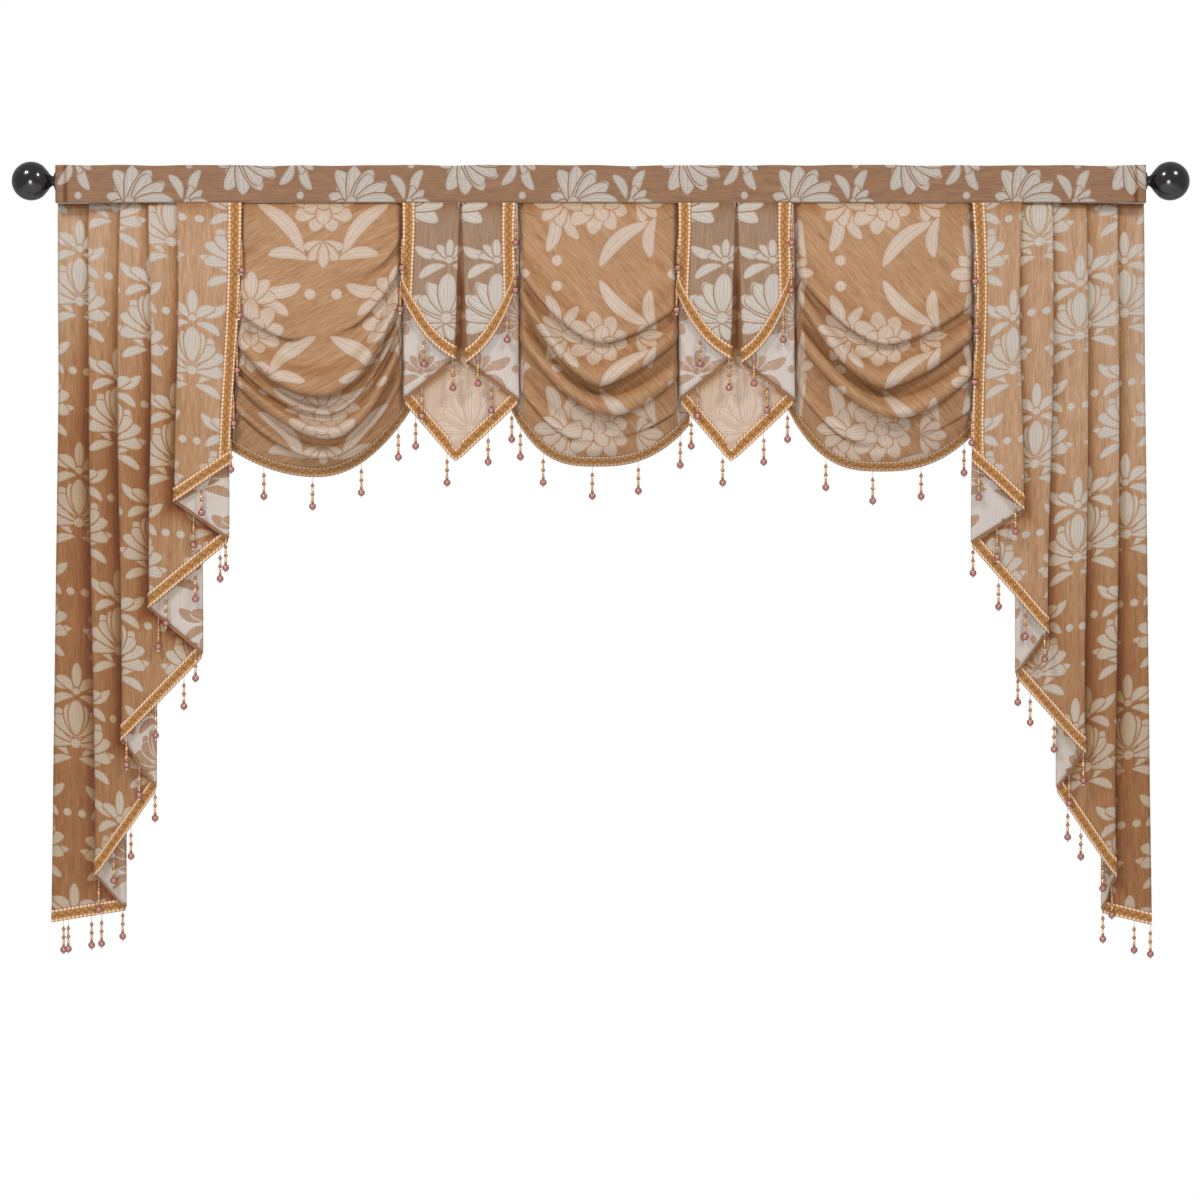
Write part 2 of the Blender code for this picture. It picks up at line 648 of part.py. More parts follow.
def main():
    clear_scene()
    black = material("black_lacquer", (0.008, 0.008, 0.009), 0.18)
    damask = material("damask", (0.42, 0.25, 0.15), 0.55)
    band = material("damask_heading", (0.36, 0.20, 0.11), 0.55)
    gold = material("gold_braid", (0.42, 0.22, 0.07), 0.6)

    make_rod(black)
    make_finial(-1, black)
    make_finial(1, black)
    make_heading(band)

    sheets, places = {}, {}
    for side, turns, table, edge in (
        ("left", LEFT_TAIL, LEFT_TAIL_DROPS, LEFT_EDGE_DROPS),
        ("right", RIGHT_TAIL, RIGHT_TAIL_DROPS, RIGHT_EDGE_DROPS),
    ):
        sheet, along, middles = pleated_sheet(turns, TAIL_SPREAD, False)
        sheets["tail_" + side] = sheet
        places["tail_" + side] = (
            hem_places(sheet, along, middles, table) + edge_places(sheet, edge, 0)
        )
    for side, centre in JABOT_CENTRES.items():
        sheet, along, middles = pleated_sheet(JABOT, JABOT_SPREAD, True, centre, JABOT_TIP_ROUND)
        sheets["jabot_" + side] = sheet
        last = sheet.grid.shape[1] - 1
        places["jabot_" + side] = (
            hem_places(sheet, along, middles, JABOT_DROPS)
            + edge_places(sheet, JABOT_LEFT_DROPS, 0)
            + edge_places(sheet, JABOT_RIGHT_DROPS, last)
        )
    for side, hang in SWAGS.items():
        sheet = swag_sheet(hang)
        sheets["swag_" + side] = sheet
        places["swag_" + side] = [braid_front(sheet, share) for share in SWAG_DROPS[side]]

    solids = []
    for name, sheet in sheets.items():
        mesh_object(name, *cloth_solid(sheet), damask, smooth=True)
        solids += [cloth_solid(sheet), braid_solid(sheet)]
    tree = tree_of(solids)
    for name, sheet in sheets.items():
        make_trim("trim_" + name, sheet, places[name], tree, gold)


main()
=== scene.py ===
"""Swag and tail drape: builds the looks of a valance that hangs on a rod with ball finials.

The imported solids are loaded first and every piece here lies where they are. A tail or jabot is a
run of straight layers joined by half-round folds in plan, whose columns hang straight down to a
stepped hem. A swag is a set of sagging creases with an overhanging roll of cloth between each two.
Braids follow the same surfaces, and bead drops hang from the braids. Lengths in tables are in
millimetres, and the origin is on the rod's axis at mid-span, with -Y towards the room.
"""

import math
from collections import namedtuple
from functools import lru_cache

import bpy
import numpy as np
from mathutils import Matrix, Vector
from mathutils.bvhtree import BVHTree


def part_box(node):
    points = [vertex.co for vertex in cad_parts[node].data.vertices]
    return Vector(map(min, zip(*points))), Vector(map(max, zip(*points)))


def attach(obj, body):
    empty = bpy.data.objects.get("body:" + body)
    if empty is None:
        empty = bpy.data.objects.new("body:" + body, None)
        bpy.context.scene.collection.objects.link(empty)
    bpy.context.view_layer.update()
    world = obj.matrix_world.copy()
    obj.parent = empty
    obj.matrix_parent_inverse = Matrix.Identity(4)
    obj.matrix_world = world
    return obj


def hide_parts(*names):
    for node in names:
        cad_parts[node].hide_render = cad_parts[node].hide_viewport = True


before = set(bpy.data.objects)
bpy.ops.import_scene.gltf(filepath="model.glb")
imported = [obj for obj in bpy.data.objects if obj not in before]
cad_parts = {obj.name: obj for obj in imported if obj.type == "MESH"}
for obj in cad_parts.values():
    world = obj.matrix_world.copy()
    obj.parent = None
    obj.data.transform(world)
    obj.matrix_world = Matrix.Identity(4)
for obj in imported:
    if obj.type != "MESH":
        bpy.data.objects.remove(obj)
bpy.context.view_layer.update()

bl_info = {
    "name": "Swag and Tail Drape",
    "version": (1, 0, 0),
    "blender": (4, 5, 0),
    "location": "View3D > Sidebar > Drape",
    "description": "Builds a swag and tail drape with braid and bead drops on a rod",
    "category": "Add Mesh",
}

MM = 0.001
ORIGIN = (0.0, 0.0, 0.0)

# ---------------------------------------------------------------- named sizes, in millimetres

ROD_RADIUS = 14.0
HEADING_LEFT, HEADING_RIGHT = -981.0, 983.5
HEADING_TOP, HEADING_BOTTOM = 28.0, -40.0
HEADING_FRONT, HEADING_SEAM_BACK = -15.8, 6.5
HEADING_SIDE_HEM = 18.0  # the turned side hem at each end of the heading
HEADING_DIP = 1.6  # how far the cloth's top edge has sunk
HEADING_HALF, POCKET_ARC = 0.7, (108, -18)  # half its cloth, and where that lies on the rod
HEADING_ROWS, HEADING_COLUMNS = 24, 330  # of its front, and along the rod
HEADER_WAVE, FRONT_WAVE, SIDE_HEM_HEIGHT = 1.1, 0.9, 0.5
STITCH_SHADE = 0.7  # painted shade along the side hem's stitching
BALL_RADIUS, FINIAL_SIDES = 35.0, 72
# The neck and collar of a finial: place from the ball's middle towards the rod, and radius
FINIAL_NECK = ((25.5, 23.2), (30, 18), (33.2, 13.4), (36, 10.5), (38, 9.2), (39.5, 9.0),
               (40.8, 9.9), (41.7, 12.3), (42.6, 15.0), (43.2, 16), (45, 16), (45, 0))
# Clear gaps: from the heading down to a cloth, from a cloth to its braid, and round the rod
SEAT, BRAID_SEAT, POCKET_CLEAR = 0.3, 0.7, 0.4
BRAID_SHOWS_BELOW = 5.0  # the cloth ends this far above the braid's lower edge
TOP = HEADING_BOTTOM - SEAT  # where the cloths start

# How the layers of a pleated piece lie, at the seam and once they have loosened: the front one's
# place, the step from layer to layer and the folds' radius, and the length they loosen over
Spread = namedtuple("Spread", "front_top front_low step_top step_low radius_top radius_low length")
TAIL_SPREAD = Spread(-13.7, -13.0, 2.4, 6.2, 1.3, 4.2, 380)
JABOT_SPREAD = Spread(-13.7, -15.5, 2.9, 7.2, 1.35, 3.6, 260)

# A row for each edge or fold of a pleated piece: x at the seam and at the hem, height of the hem
# there, order from the front, side the fold rounds to, 1 where it turns away from the room or -1
# where it turns towards it, and how far it wanders sideways on the way down
Turn = namedtuple("Turn", "x_top x_low z_hem rank bulge turn sway")
LEFT_TAIL = (
    Turn(-645, -664, -512, -0.20, 0, 1, 3),
    Turn(-762, -763, -580, 0.0, -1, 1, 3),
    Turn(-668, -671, -650, 1.0, 1, 1, -2),
    Turn(-815, -809, -772, 2.0, -1, 1, 4),
    Turn(-720, -720, -858, 3.0, 1, 1, -3),
    Turn(-865, -869, -1012, 4.0, -1, 1, -5),
    Turn(-797, -798, -1100, 5.0, 1, 1, 4),
    Turn(-922, -917, -1258, 6.0, -1, 1, -4),
    Turn(-853, -855, -1318, 7.0, 1, 1, 3),
    Turn(-979, -993, -1340, 7.4, 0, 1, 1),
)
RIGHT_TAIL = (
    Turn(670, 676, -508, -0.20, 0, 1, 6),
    Turn(760, 759, -596, 0.0, 1, 1, -4),
    Turn(674, 671, -657, 1.0, -1, 1, 2),
    Turn(815, 811, -818, 2.0, 1, 1, 4),
    Turn(748, 747, -893, 3.0, -1, 1, -3),
    Turn(877, 880, -1035, 4.0, 1, 1, 4),
    Turn(822, 822, -1100, 5.0, -1, 1, -3),
    Turn(933, 938, -1260, 6.0, 1, 1, 5),
    Turn(905, 906, -1322, 7.0, -1, 1, -2),
    Turn(982, 1001, -1345, 7.4, 0, 1, 1),
)
# The jabot's x is measured from its own centre line
JABOT = (
    Turn(-105, -107, -206, -0.20, 0, 1, 1),
    Turn(-2.5, -11, -324, 0.0, 1, 1, 0),
    Turn(-102, -104, -399, 1.0, -1, 1, -1),
    Turn(0, -10, -509, 1.5, 0, 1, 0),
    Turn(102, 106, -399, 1.0, 1, -1, 1),
    Turn(2.5, 12, -330, 0.0, -1, -1, 0),
    Turn(99, 97, -200, -0.20, 0, -1, -1),
)
JABOT_TIP_ROUND, TIP_REACH = 2.6, 14  # how much its lowest tip is rounded, and over what length
HEM_SAMPLES, HEM_SOFT = 1500, 7  # places along a hem, and how many of them a corner is softened by
STEEPEST_HEM, STEEPEST_SWAG = 1.7, 1.5  # the most that a sloping hem widens its braid upright
# The soft wave of the pleated pieces: how far it reaches, a jabot's share of it, how far from a
# tail's inner edge it starts and over what width, and over what drop it grows
TAIL_WAVE, JABOT_WAVE, STILL_EDGE, STILL_FADE, WAVE_BELOW = 2.2, 0.35, 25, 60, 260
# Painted shade, how much the cloth's colour is darkened, from 0 in the open to 1 in a crease:
# below the heading and how fast it fades, a tail all over and how much more at its low outer
# edge, next to the fold or cut in front of a layer at the top, how much more lower down, how
# much fainter again near the tail's end and from what drop over what length, the share below a
# cut alone, and over what distance each fades, how much wider lower down and with what falloff
SEAM_SHADE, SEAM_FADE = 0.4, 9.0
TAIL_SHADE, TAIL_OUTER_SHADE = 0.08, 0.36
LAYER_SHADE, LAYER_SHADE_ADDED_LOW, LAYER_FAINTER = 0.42, 0.78, 0.45
FAINTER_FROM, FAINTER_OVER, CUT_SHARE = 850, 350, 0.4
LAYER_FADE, LAYER_WIDER, LAYER_FALLOFF = 11, 8, 1.4
FLAP_TIP = -330  # the height of the front flaps' tips
# Painted shade in the slit between a jabot's flaps: half its width at the top and how much it
# opens, how far below the seam it begins to and over what height, its soft edge, and how far
# above the flaps' tips it ends and over what height
Slit = namedtuple("Slit", "half opens below height edge above fades")
SLIT = Slit(2.5, 6.5, 30, 220, 4, 12, 20)
JABOT_CUT_SHADE, JABOT_CUT_FADE = 0.45, 8.0  # painted shade on a jabot's other layers next to the cuts, and how fast it fades
# What is cut, and how: turns, spread, centre line, whether both ends carry braid, tip, wave, how
# the grain leans, and from what drop and over what length the painted shade on a tail grows
# warmer and darker
Pleated = namedtuple(
    "Pleated", "turns spread centre both_ends tip_round seed lean warm_from warm_over"
)
PLEATED = {
    "tail_left": Pleated(LEFT_TAIL, TAIL_SPREAD, 0, False, 0.0, 1, 0.14, 130, 400),
    "tail_right": Pleated(RIGHT_TAIL, TAIL_SPREAD, 0, False, 0.0, 4, 0.14, 300, 750),
    "jabot_left": Pleated(JABOT, JABOT_SPREAD, -251, True, JABOT_TIP_ROUND, 7, 0.0, 0, 1),
    "jabot_right": Pleated(JABOT, JABOT_SPREAD, 246, True, JABOT_TIP_ROUND, 9, 0.0, 0, 1),
}
FOLD_STEPS, BRAID_FOLD_STEPS = 12, 14  # facets round a fold of the cloth, and of its braid
FOLD_SOFT = 2.2  # how much wider than deep a fold is
EDGE_LIFT, SWAY_TURNS = 0.8, 1.6  # of a free edge off its layer, and half turns of a fold's sway
COLUMN_STEP, ROW_STEP = 7.0, 12.0
BRAID_STEP, BRAID_ACROSS, EDGE_BRAID_BELOW = 1.2, 14, 0.4  # the last is from the cloths' top
BEAD_PITCH, ZIGZAG_PITCH = 7.2, 14.5  # of the braid's cords, and of the line along its middle
CORD_SHARE, ZIGZAG_SHARE = 0.12, 0.13  # a cord's radius and the zigzag's reach, by the width

# A row for each crease of a swag, from the seam to the hem: its height at the left end, at its
# lowest point and at the right end, where it is lowest, how sharply each side rises, and how far
# the roll above it stands out at the left, in the middle and at the right
Crease = namedtuple(
    "Crease", "z_left z_low z_right x_low rise_left rise_right roll_left roll_mid roll_right"
)
LEFT_SWAG = (
    Crease(-40.3, -40.3, -40.3, -500, 2.0, 2.0, 0, 0, 0),
    Crease(-95, -190, -62, -465, 1.6, 2.2, 0, 1, 7),
    Crease(-225, -292, -115, -520, 1.8, 2.1, 14, 1.5, 12),
    Crease(-275, -384, -150, -507, 2.0, 2.2, 14, 26, 17),
    Crease(-315, -423, -196, -494, 1.8, 1.9, 9, 5, 13),
    Crease(-345, -460, -238, -488, 1.7, 2.1, 14, 25, 17),
    Crease(-392, -498, -310, -505, 1.7, 2.2, 10, 8, 11),
    Crease(-478, -535, -404, -510, 2.0, 2.1, 6, 9, 6),
)
INNER_SWAG = (
    Crease(-40.3, -40.3, -40.3, 0, 2.0, 2.0, 0, 0, 0),
    Crease(-52, -92, -50, 50, 1.7, 2.0, 0, 0, 1),
    Crease(-128, -290, -208, 4, 1.7, 1.6, 14, 11, 12),
    Crease(-168, -366, -264, -3, 1.6, 1.5, 17, 25, 18),
    Crease(-248, -418, -328, 22, 1.8, 1.7, 18, 24, 16),
    Crease(-338, -478, -396, -14, 1.8, 1.7, 11, 2, 7),
    Crease(-398, -516, -440, -6, 3.0, 2.6, 6, 9, 6),
)
# Where each swag hangs: its ends at the seam and at the hem, how far a table made for another
# width is shifted, how much deeper its hem sags, where its small waves start, and the share at
# its left and right end that stays behind its neighbour
Hang = namedtuple(
    "Hang", "table left_top left_low right_top right_low shift extra seed tuck_left tuck_right"
)
SWAGS = {
    "swag_left": Hang(LEFT_SWAG, -658, -677, -338, -335, 0, 0, 0.0, 0.02, 0.05),
    "swag_centre": Hang(INNER_SWAG, -166, -168, 159, 162, 0, 0, 2.1, 0.055, 0.048),
    "swag_right": Hang(INNER_SWAG, 329, 332, 684, 690, 511, 9, 4.4, 0.055, 0.026),
}
CLOTHS = (*PLEATED, *SWAGS)
SWAG_FADE, SWAG_ROUND = 0.048, 0.75  # of the rolls at the ends, and of the body in plan
SWAG_SEAM_Y, SWAG_HEM_Y = -3.5, 3.5  # the ends' places at the seam and from half way down
# How far the body stands forward at the seam, where it is fullest and at the hem
SWAG_SEAM_FRONT, SWAG_BELLY, SWAG_HEM_BELLY = 9.0, 34.0, 22.0
SWAG_FULLEST = 0.72  # how far down that is
SWAG_HEM_FLARE, FLARE_OVER = 2.0, 24.0  # how far the hem's foot stands back, over what height
SWAG_WAVES = 0.9, 0.7  # the heights of a swag's long and short waves
SWAG_BRAID = 0.8  # the width of the swags' braid, as a share of the others'
SWAG_COLUMNS = 110
ROLL_RISE, ROLL_NOSE, ROLL_BACK = 13, 7, 3  # rows down a roll, round its nose, back under it
# The nose's radius and angle, the power a roll swells by, and its fullness for its stated size
NOSE_RADIUS, NOSE_TURN, ROLL_SWELL, ROLL_FULL = 12.0, 145.0, 3.6, 1.3
# Where a roll's nose starts and ends, as shares of the way down to the next crease, the shares
# that it and the way back under it take up, and how high it lies, as a share of its radius
NOSE_FROM, NOSE_TO, NOSE_SHARE, BACK_SHARE, NOSE_LIFT = 0.78, 0.94, 0.16, 0.06, 0.4
ROLL_STARTS, ROLL_STANDS = 6, 9  # the sizes by which a roll is full, and its rows follow it
PANEL_SWELL = 3.0  # of the flat cloth below the last crease
CREASE_SHADE, CREASE_FADE = 0.34, 14.0  # painted shade in a crease, and over what distance it fades
HOLLOW_SHADE, HOLLOW_ABOVE = 0.5, 30.0  # painted shade in a roll's hollow, by its crease's, and how far above its nose

# Shares along each layer of a stepped hem, heights down each hanging edge, and shares along each
# swag's hem, where a bead drop hangs
HEM_DROPS = {
    "tail_left": (
        (0.50,), (0.35, 0.93), (0.12, 0.42, 0.78), (0.18, 0.84), (0.24, 0.58, 0.93),
        (0.50, 0.97), (0.42, 0.70), (0.10, 0.90), (0.34, 0.47, 0.78, 0.84),
    ),
    "tail_right": (
        (0.12, 0.82), (0.50, 0.96), (0.36, 0.70, 0.95), (0.93,), (0.22, 0.56, 0.96),
        (0.55,), (0.20, 0.42, 0.78), (0.22, 0.93), (0.66, 0.97),
    ),
    "jabot": ((0.42, 0.95), (0.64,), (0.24, 0.84), (0.50, 0.87), (0.54,), (0.24, 0.85)),
}
EDGE_DROPS = {
    "tail_left": ((-110, -200, -290, -385, -468), ()),
    "tail_right": ((-130, -220, -312, -420), ()),
    "jabot": ((-106, -182), (-60, -146)),
}
SWAG_DROPS = {
    "swag_left": (0.21, 0.467, 0.722, 0.915),
    "swag_centre": (0.076, 0.20, 0.467, 0.718, 0.945),
    "swag_right": (0.21, 0.444, 0.687, 0.905),
}
EDGE_DROP_OUT = 0.6  # how far beyond an edge its drops hang
DROP_CLEAR = 0.8  # between a bead and the cloth behind it
# The beads of a drop: top and bottom below its start, radius, finish (0 thread, 1 gold bugle,
# 2 rose pearl, 3 clear tip)
Bead = namedtuple("Bead", "top bottom radius finish")
BEADS = (
    Bead(0.0, 11.5, 0.6, 0),
    Bead(11.0, 13.0, 1.8, 1),
    Bead(12.8, 18.8, 3.4, 2),
    Bead(18.6, 27.8, 2.2, 1),
    Bead(27.6, 34.0, 3.7, 2),
    Bead(33.8, 42.6, 2.3, 1),
    Bead(42.2, 47.2, 3.0, 2),
    Bead(46.6, 59.2, 6.4, 2),
    Bead(58.8, 62.0, 2.0, 3),
)
BEAD_SIDES, BEAD_RINGS, BUGLE_RINGS = 12, 7, 10

# The stage, in metres and watts
CAMERA_PLACE, CAMERA_DISTANCE, FRAME_WIDTH = (0.0, -8.02, -0.756), 8.0, 2.16
FLOOR_Z, ROOM_LIGHT, LAMP_AIM = -2.1, 0.335, (0, 0, -0.4)
FLOOR_CORNERS = ((-4.0, -7.0), (4.0, -7.0), (4.0, 1.2), (-4.0, 1.2))
SENSOR_WIDTH = 36.0  # in millimetres
Lamp = namedtuple("Lamp", "name place size power")
LAMPS = (
    Lamp("left", (-2.7, -2.9, 3.5), 0.8, 156), Lamp("right", (3.0, -3.0, 3.2), 0.9, 126),
    Lamp("front", (-0.8, -6.0, -1.1), 1.6, 115),
)

PAINTED_SHADE_COLOUR = (0.33, 0.13, 0.03, 1)  # painted shade: what is left of a cloth's colour deep in a crease

# ---------------------------------------------------------------- damask motifs, in millimetres

# A petal, leaf or disc of the woven pattern: its middle, the way it points, its length and
# width, how far it bends and tapers, and how blunt its ends are, from 1 pointed to 0.5 round
Petal = namedtuple("Petal", "x y turn length width bend taper blunt")
# A repeat: its width and height, how much of a petal's width has a vein, and its petals from the
# back to the front. The origin is its middle, and no petal reaches past it. Every other row of
# repeats is shifted by half a width.
Damask = namedtuple("Damask", "width height vein_every petals")
PETAL_GAP = 2.0  # of ground, round each petal
FAN_SHORTER = 0.16  # how much shorter a fan's outermost leaves are


def leaf(x, y, turn, length, width, bend=0.0):
    """A leaf that starts at x, y. Its middle is half a length further on, the way it points."""
    turned = math.radians(turn)
    middle = x + 0.5 * length * math.cos(turned), y + 0.5 * length * math.sin(turned)
    return Petal(*middle, turn, length, width, bend, taper=0.2, blunt=0.6)


def fan(x, y, turn, spread, count, length, width, bend=0.0):
    """Leaves that start at one point like the ribs of a fan, from the outermost pair inwards.
    Each is bent and shortened in proportion to its angle from the middle."""
    shares = sorted((2 * k / (count - 1) - 1 for k in range(count)), key=lambda s: (-abs(s), s))
    return [leaf(x, y, turn + 0.5 * spread * s, length * (1 - FAN_SHORTER * abs(s)), width,
                 -bend * s) for s in shares]


def mirrored(*petals):
    """Petals, each with its mirror image in the design's upright axis."""
    return [p for q in petals for p in (q, q._replace(x=-q.x, turn=180 - q.turn, bend=-q.bend))]


def disc(x, y, size):
    return Petal(x, y, 0, size, size, bend=0, taper=0, blunt=0.5)


PALMETTE_DAMASK = Damask(150, 200, 13, (
    mirrored(leaf(8, -70, 30, 62, 17, 0.8), leaf(8, -74, -22, 50, 16, 0.6))
    + fan(0, -46, 90, 190, 7, 68, 25, 0.4) + fan(0, -38, 90, 96, 4, 60, 24, 0.2)
    + [leaf(0, -38, 90, 64, 28), disc(0, -52, 18)]
    + mirrored(leaf(6, 42, 24, 58, 18, -0.8), leaf(8, 38, -24, 44, 16, 0.7), disc(62, 22, 15))
    + fan(0, 44, 90, 110, 3, 50, 18, 0.4) + [disc(0, 42, 14)]
))
LOTUS_DAMASK = Damask(160, 200, 20, (
    mirrored(leaf(8, 60, 14, 54, 18, -0.8), leaf(8, 52, -28, 50, 17, 0.7), disc(68, 60, 14))
    + fan(0, -44, 270, 150, 6, 48, 20, 0.3) + fan(0, -48, 90, 218, 9, 76, 27, 0.4)
    + fan(0, -40, 90, 116, 5, 68, 27, 0.2) + [leaf(0, -40, 90, 72, 32), disc(0, -48, 20)]
    + fan(0, 58, 90, 150, 5, 36, 14, 0.4) + [disc(0, 56, 13)]
))
ROSETTE_DAMASK = Damask(260, 240, 18, (
    mirrored(leaf(22, -92, 50, 130, 26, 1.2), leaf(26, -96, 8, 74, 22, 0.7),
             leaf(14, 72, 8, 78, 24, -0.7), leaf(14, 66, -24, 62, 20, 0.6), disc(106, 74, 20))
    + fan(0, -74, 270, 150, 5, 44, 20, 0.3) + fan(0, 62, 90, 150, 5, 54, 24, 0.4)
    + fan(0, 0, 90, 320, 9, 66, 30) + fan(0, 0, 270, 288, 5, 40, 26) + [disc(0, 0, 26)]
))
DAMASKS = {"Palmette": PALMETTE_DAMASK, "Lotus": LOTUS_DAMASK, "Rosette": ROSETTE_DAMASK}
# How a cloth is cut from its damask: which one, how far the pattern is turned, in degrees, how
# far up it is moved, and how far the yarns are turned
Weave = namedtuple("Weave", "damask turn up yarn")
WEAVES = {
    "tail": Weave("Palmette", 0, 100, 0),
    "jabot": Weave("Lotus", 0, 0, 0),
    "heading": Weave("Lotus", 90, 0, 90),
    "swag_left": Weave("Rosette", 0, 0, 62),
    "swag_inner": Weave("Rosette", -90, 0, -40),
}


# ---------------------------------------------------------------- plain maths

def smooth_step(t):
    """0 below 0 and 1 above 1, with the curve 3t^2 - 2t^3 between them."""
    t = np.clip(t, 0.0, 1.0)
    return t * t * (3.0 - 2.0 * t)


def between(first, second, share):
    return first + (second - first) * share


def uneven(x, z, seed):
    """A soft uneven field from -1 to 1 over millimetres: the mean of four sine waves that cross
    at different angles."""
    waves = ((0.031, 0.006, 0.3), (0.053, -0.011, 1.9), (0.084, 0.017, 4.1), (0.014, 0.021, 2.6))
    return sum(np.sin(a * x + b * z + c + 1.7 * seed * (k + 1)) for k, (a, b, c) in
               enumerate(waves)) / 2.6


def normals_of(grid):
    """Unit normals of a grid: the cross product of its two directions, on the side that faces
    the room at its first corner."""
    normal = np.cross(np.gradient(grid, axis=1), np.gradient(grid, axis=0))
    normal /= np.maximum(np.linalg.norm(normal, axis=2, keepdims=True), 1e-9)
    return normal if normal[0, 0, 1] < 0 else -normal


def distances(line):
    """Distance along each column or path: the running sum of its steps."""
    steps = np.linalg.norm(np.diff(line, axis=0), axis=-1)
    return np.concatenate([np.zeros((1,) + steps.shape[1:]), np.cumsum(steps, axis=0)])


# ---------------------------------------------------------------- meshes

def grid_quads(rows, columns, start=0):
    index = np.arange(rows * columns).reshape(rows, columns) + start
    return np.stack(
        [index[:-1, :-1], index[1:, :-1], index[1:, 1:], index[:-1, 1:]], axis=-1
    ).reshape(-1, 4)


def slab_quads(rows, columns, start=0):
    """Faces of a closed slab: a front grid, a back grid after it, and the walls round them."""
    count = rows * columns
    front = grid_quads(rows, columns, start)
    index = np.arange(count).reshape(rows, columns) + start
    ring = np.concatenate(
        [index[0, :-1], index[:-1, -1], index[-1, :0:-1], index[:0:-1, 0]]
    )
    after = np.roll(ring, -1)
    walls = np.stack([ring, after, after + count, ring + count], axis=-1)
    return np.concatenate([front, front[:, ::-1] + count, walls])


def make_object(name, points, faces, materials=(), flat=None, face_finish=None, smooth=True,
                sharp=None):
    """A mesh object from points in metres and lists or arrays of faces, with its flat-cloth UV
    map, each face's finish, and the angle beyond which its edges stay sharp, in degrees."""
    mesh = bpy.data.meshes.new(name)
    mesh.from_pydata(np.asarray(points, float).tolist(), [],
                     faces if isinstance(faces, list) else faces.tolist())
    for material in materials:
        mesh.materials.append(material)
    if flat is not None:
        corners = np.zeros(len(mesh.loops), np.int32)
        mesh.loops.foreach_get("vertex_index", corners)
        layer = mesh.uv_layers.new(name="flat_cloth")
        layer.data.foreach_set("uv", np.asarray(flat, np.float32)[corners].ravel())
    if face_finish is not None:
        mesh.polygons.foreach_set("material_index", np.asarray(face_finish, np.int32))
    if smooth:
        mesh.shade_smooth()
    mesh.validate()
    if sharp:
        mesh.set_sharp_from_angle(angle=math.radians(sharp))
    made = bpy.data.objects.new(name, mesh)
    bpy.context.scene.collection.objects.link(made)
    return made


def cloth_object(name, grid, flat, depth, materials, thickness, layer=None):
    """A sheet through the middle of the cloth, made solid by a Solidify modifier. The first
    finish is the face side's and the second the reverse's. Its float attribute for painted shade,
    taken from the depth it is given, says how much each point's colour is darkened, from 0 in the
    open to 1 deep in a crease. The layer says which of its columns' faces have the third and
    fourth finish."""
    rows, columns = grid.shape[:2]
    quads = grid_quads(rows, columns)
    normal = np.cross(np.gradient(grid, axis=0), np.gradient(grid, axis=1))
    if normal[1, 1, 1] > 0:
        quads = quads[:, ::-1]
    if layer is not None:
        layer = np.tile(np.where(layer, 2, 0), rows - 1)
    made = make_object(name, grid.reshape(-1, 3), quads, materials, flat.reshape(-1, 2), layer)
    deep = made.data.attributes.new("painted_fold_shade", "FLOAT", "POINT")
    deep.data.foreach_set("value", np.ascontiguousarray(depth, np.float32).ravel())
    solid = made.modifiers.new("cloth", "SOLIDIFY")
    solid.thickness = thickness
    solid.offset = 0.0
    solid.use_even_offset = False
    solid.material_offset = 1
    solid.material_offset_rim = 1
    return made


# ---------------------------------------------------------------- pleated pieces

def pleat_columns(turns, step, fold_steps):
    """Where the columns of a pleated piece lie, as arrays: a fold and the angle round it, the
    next fold and the angle there, and the share of the way between the two."""
    columns = []
    for k, row in enumerate(turns):
        angles = np.linspace(-90, 90, fold_steps + 1) if row.bulge else np.zeros(1)
        columns += [(k, a, k, a, 0.0) for a in angles]
        if k == len(turns) - 1:
            break
        leave = 90.0 if row.bulge else 0.0
        arrive = -90.0 if turns[k + 1].bulge else 0.0
        count = max(2, round(abs(turns[k + 1].x_low - row.x_low) / step))
        columns += [(k, leave, k + 1, arrive, s / count) for s in range(1, count)]
    return np.array(columns, float)


def edge_columns(turns, width, last):
    """Columns of the strip along the first or last edge, from the edge inwards."""
    k = len(turns) - 2 if last else 0
    length = abs(turns[k + 1].x_low - turns[k].x_low)
    shares = np.linspace(0, width / length, BRAID_ACROSS + 1)
    leave = 90.0 if turns[k].bulge else 0.0
    arrive = -90.0 if turns[k + 1].bulge else 0.0
    return np.array([(k, leave, k + 1, arrive, 1 - s if last else s) for s in shares])


def fold_place(piece, k, angle, z):
    """The place on fold k at height z: half an ellipse in plan, as deep as the spread's radius
    and wider by the fold's softness. All folds loosen from the seam downwards."""
    table = np.array(piece.turns, float)[k.astype(int)]
    x_top, x_low, z_hem, rank, bulge, turn, sway = table.T
    spread = piece.spread
    down = np.clip((TOP - z) / (TOP - z_hem), 0.0, 1.1)
    loose = smooth_step((TOP - z) / spread.length)
    front = between(spread.front_top, spread.front_low, loose)
    step = between(spread.step_top, spread.step_low, loose)
    radius = np.where(bulge == 0, 0.0, between(spread.radius_top, spread.radius_low, loose))
    lift = np.where(bulge == 0, spread.radius_top * EDGE_LIFT, 0.0)
    x = between(x_top, x_low, down) + sway * np.sin(SWAY_TURNS * math.pi * down)
    around = np.radians(angle)
    x = x - bulge * radius * FOLD_SOFT * (1 - np.cos(around))
    y = front + rank * step + turn * radius * np.sin(around) - np.where(rank < 1, lift, -lift)
    return x, y


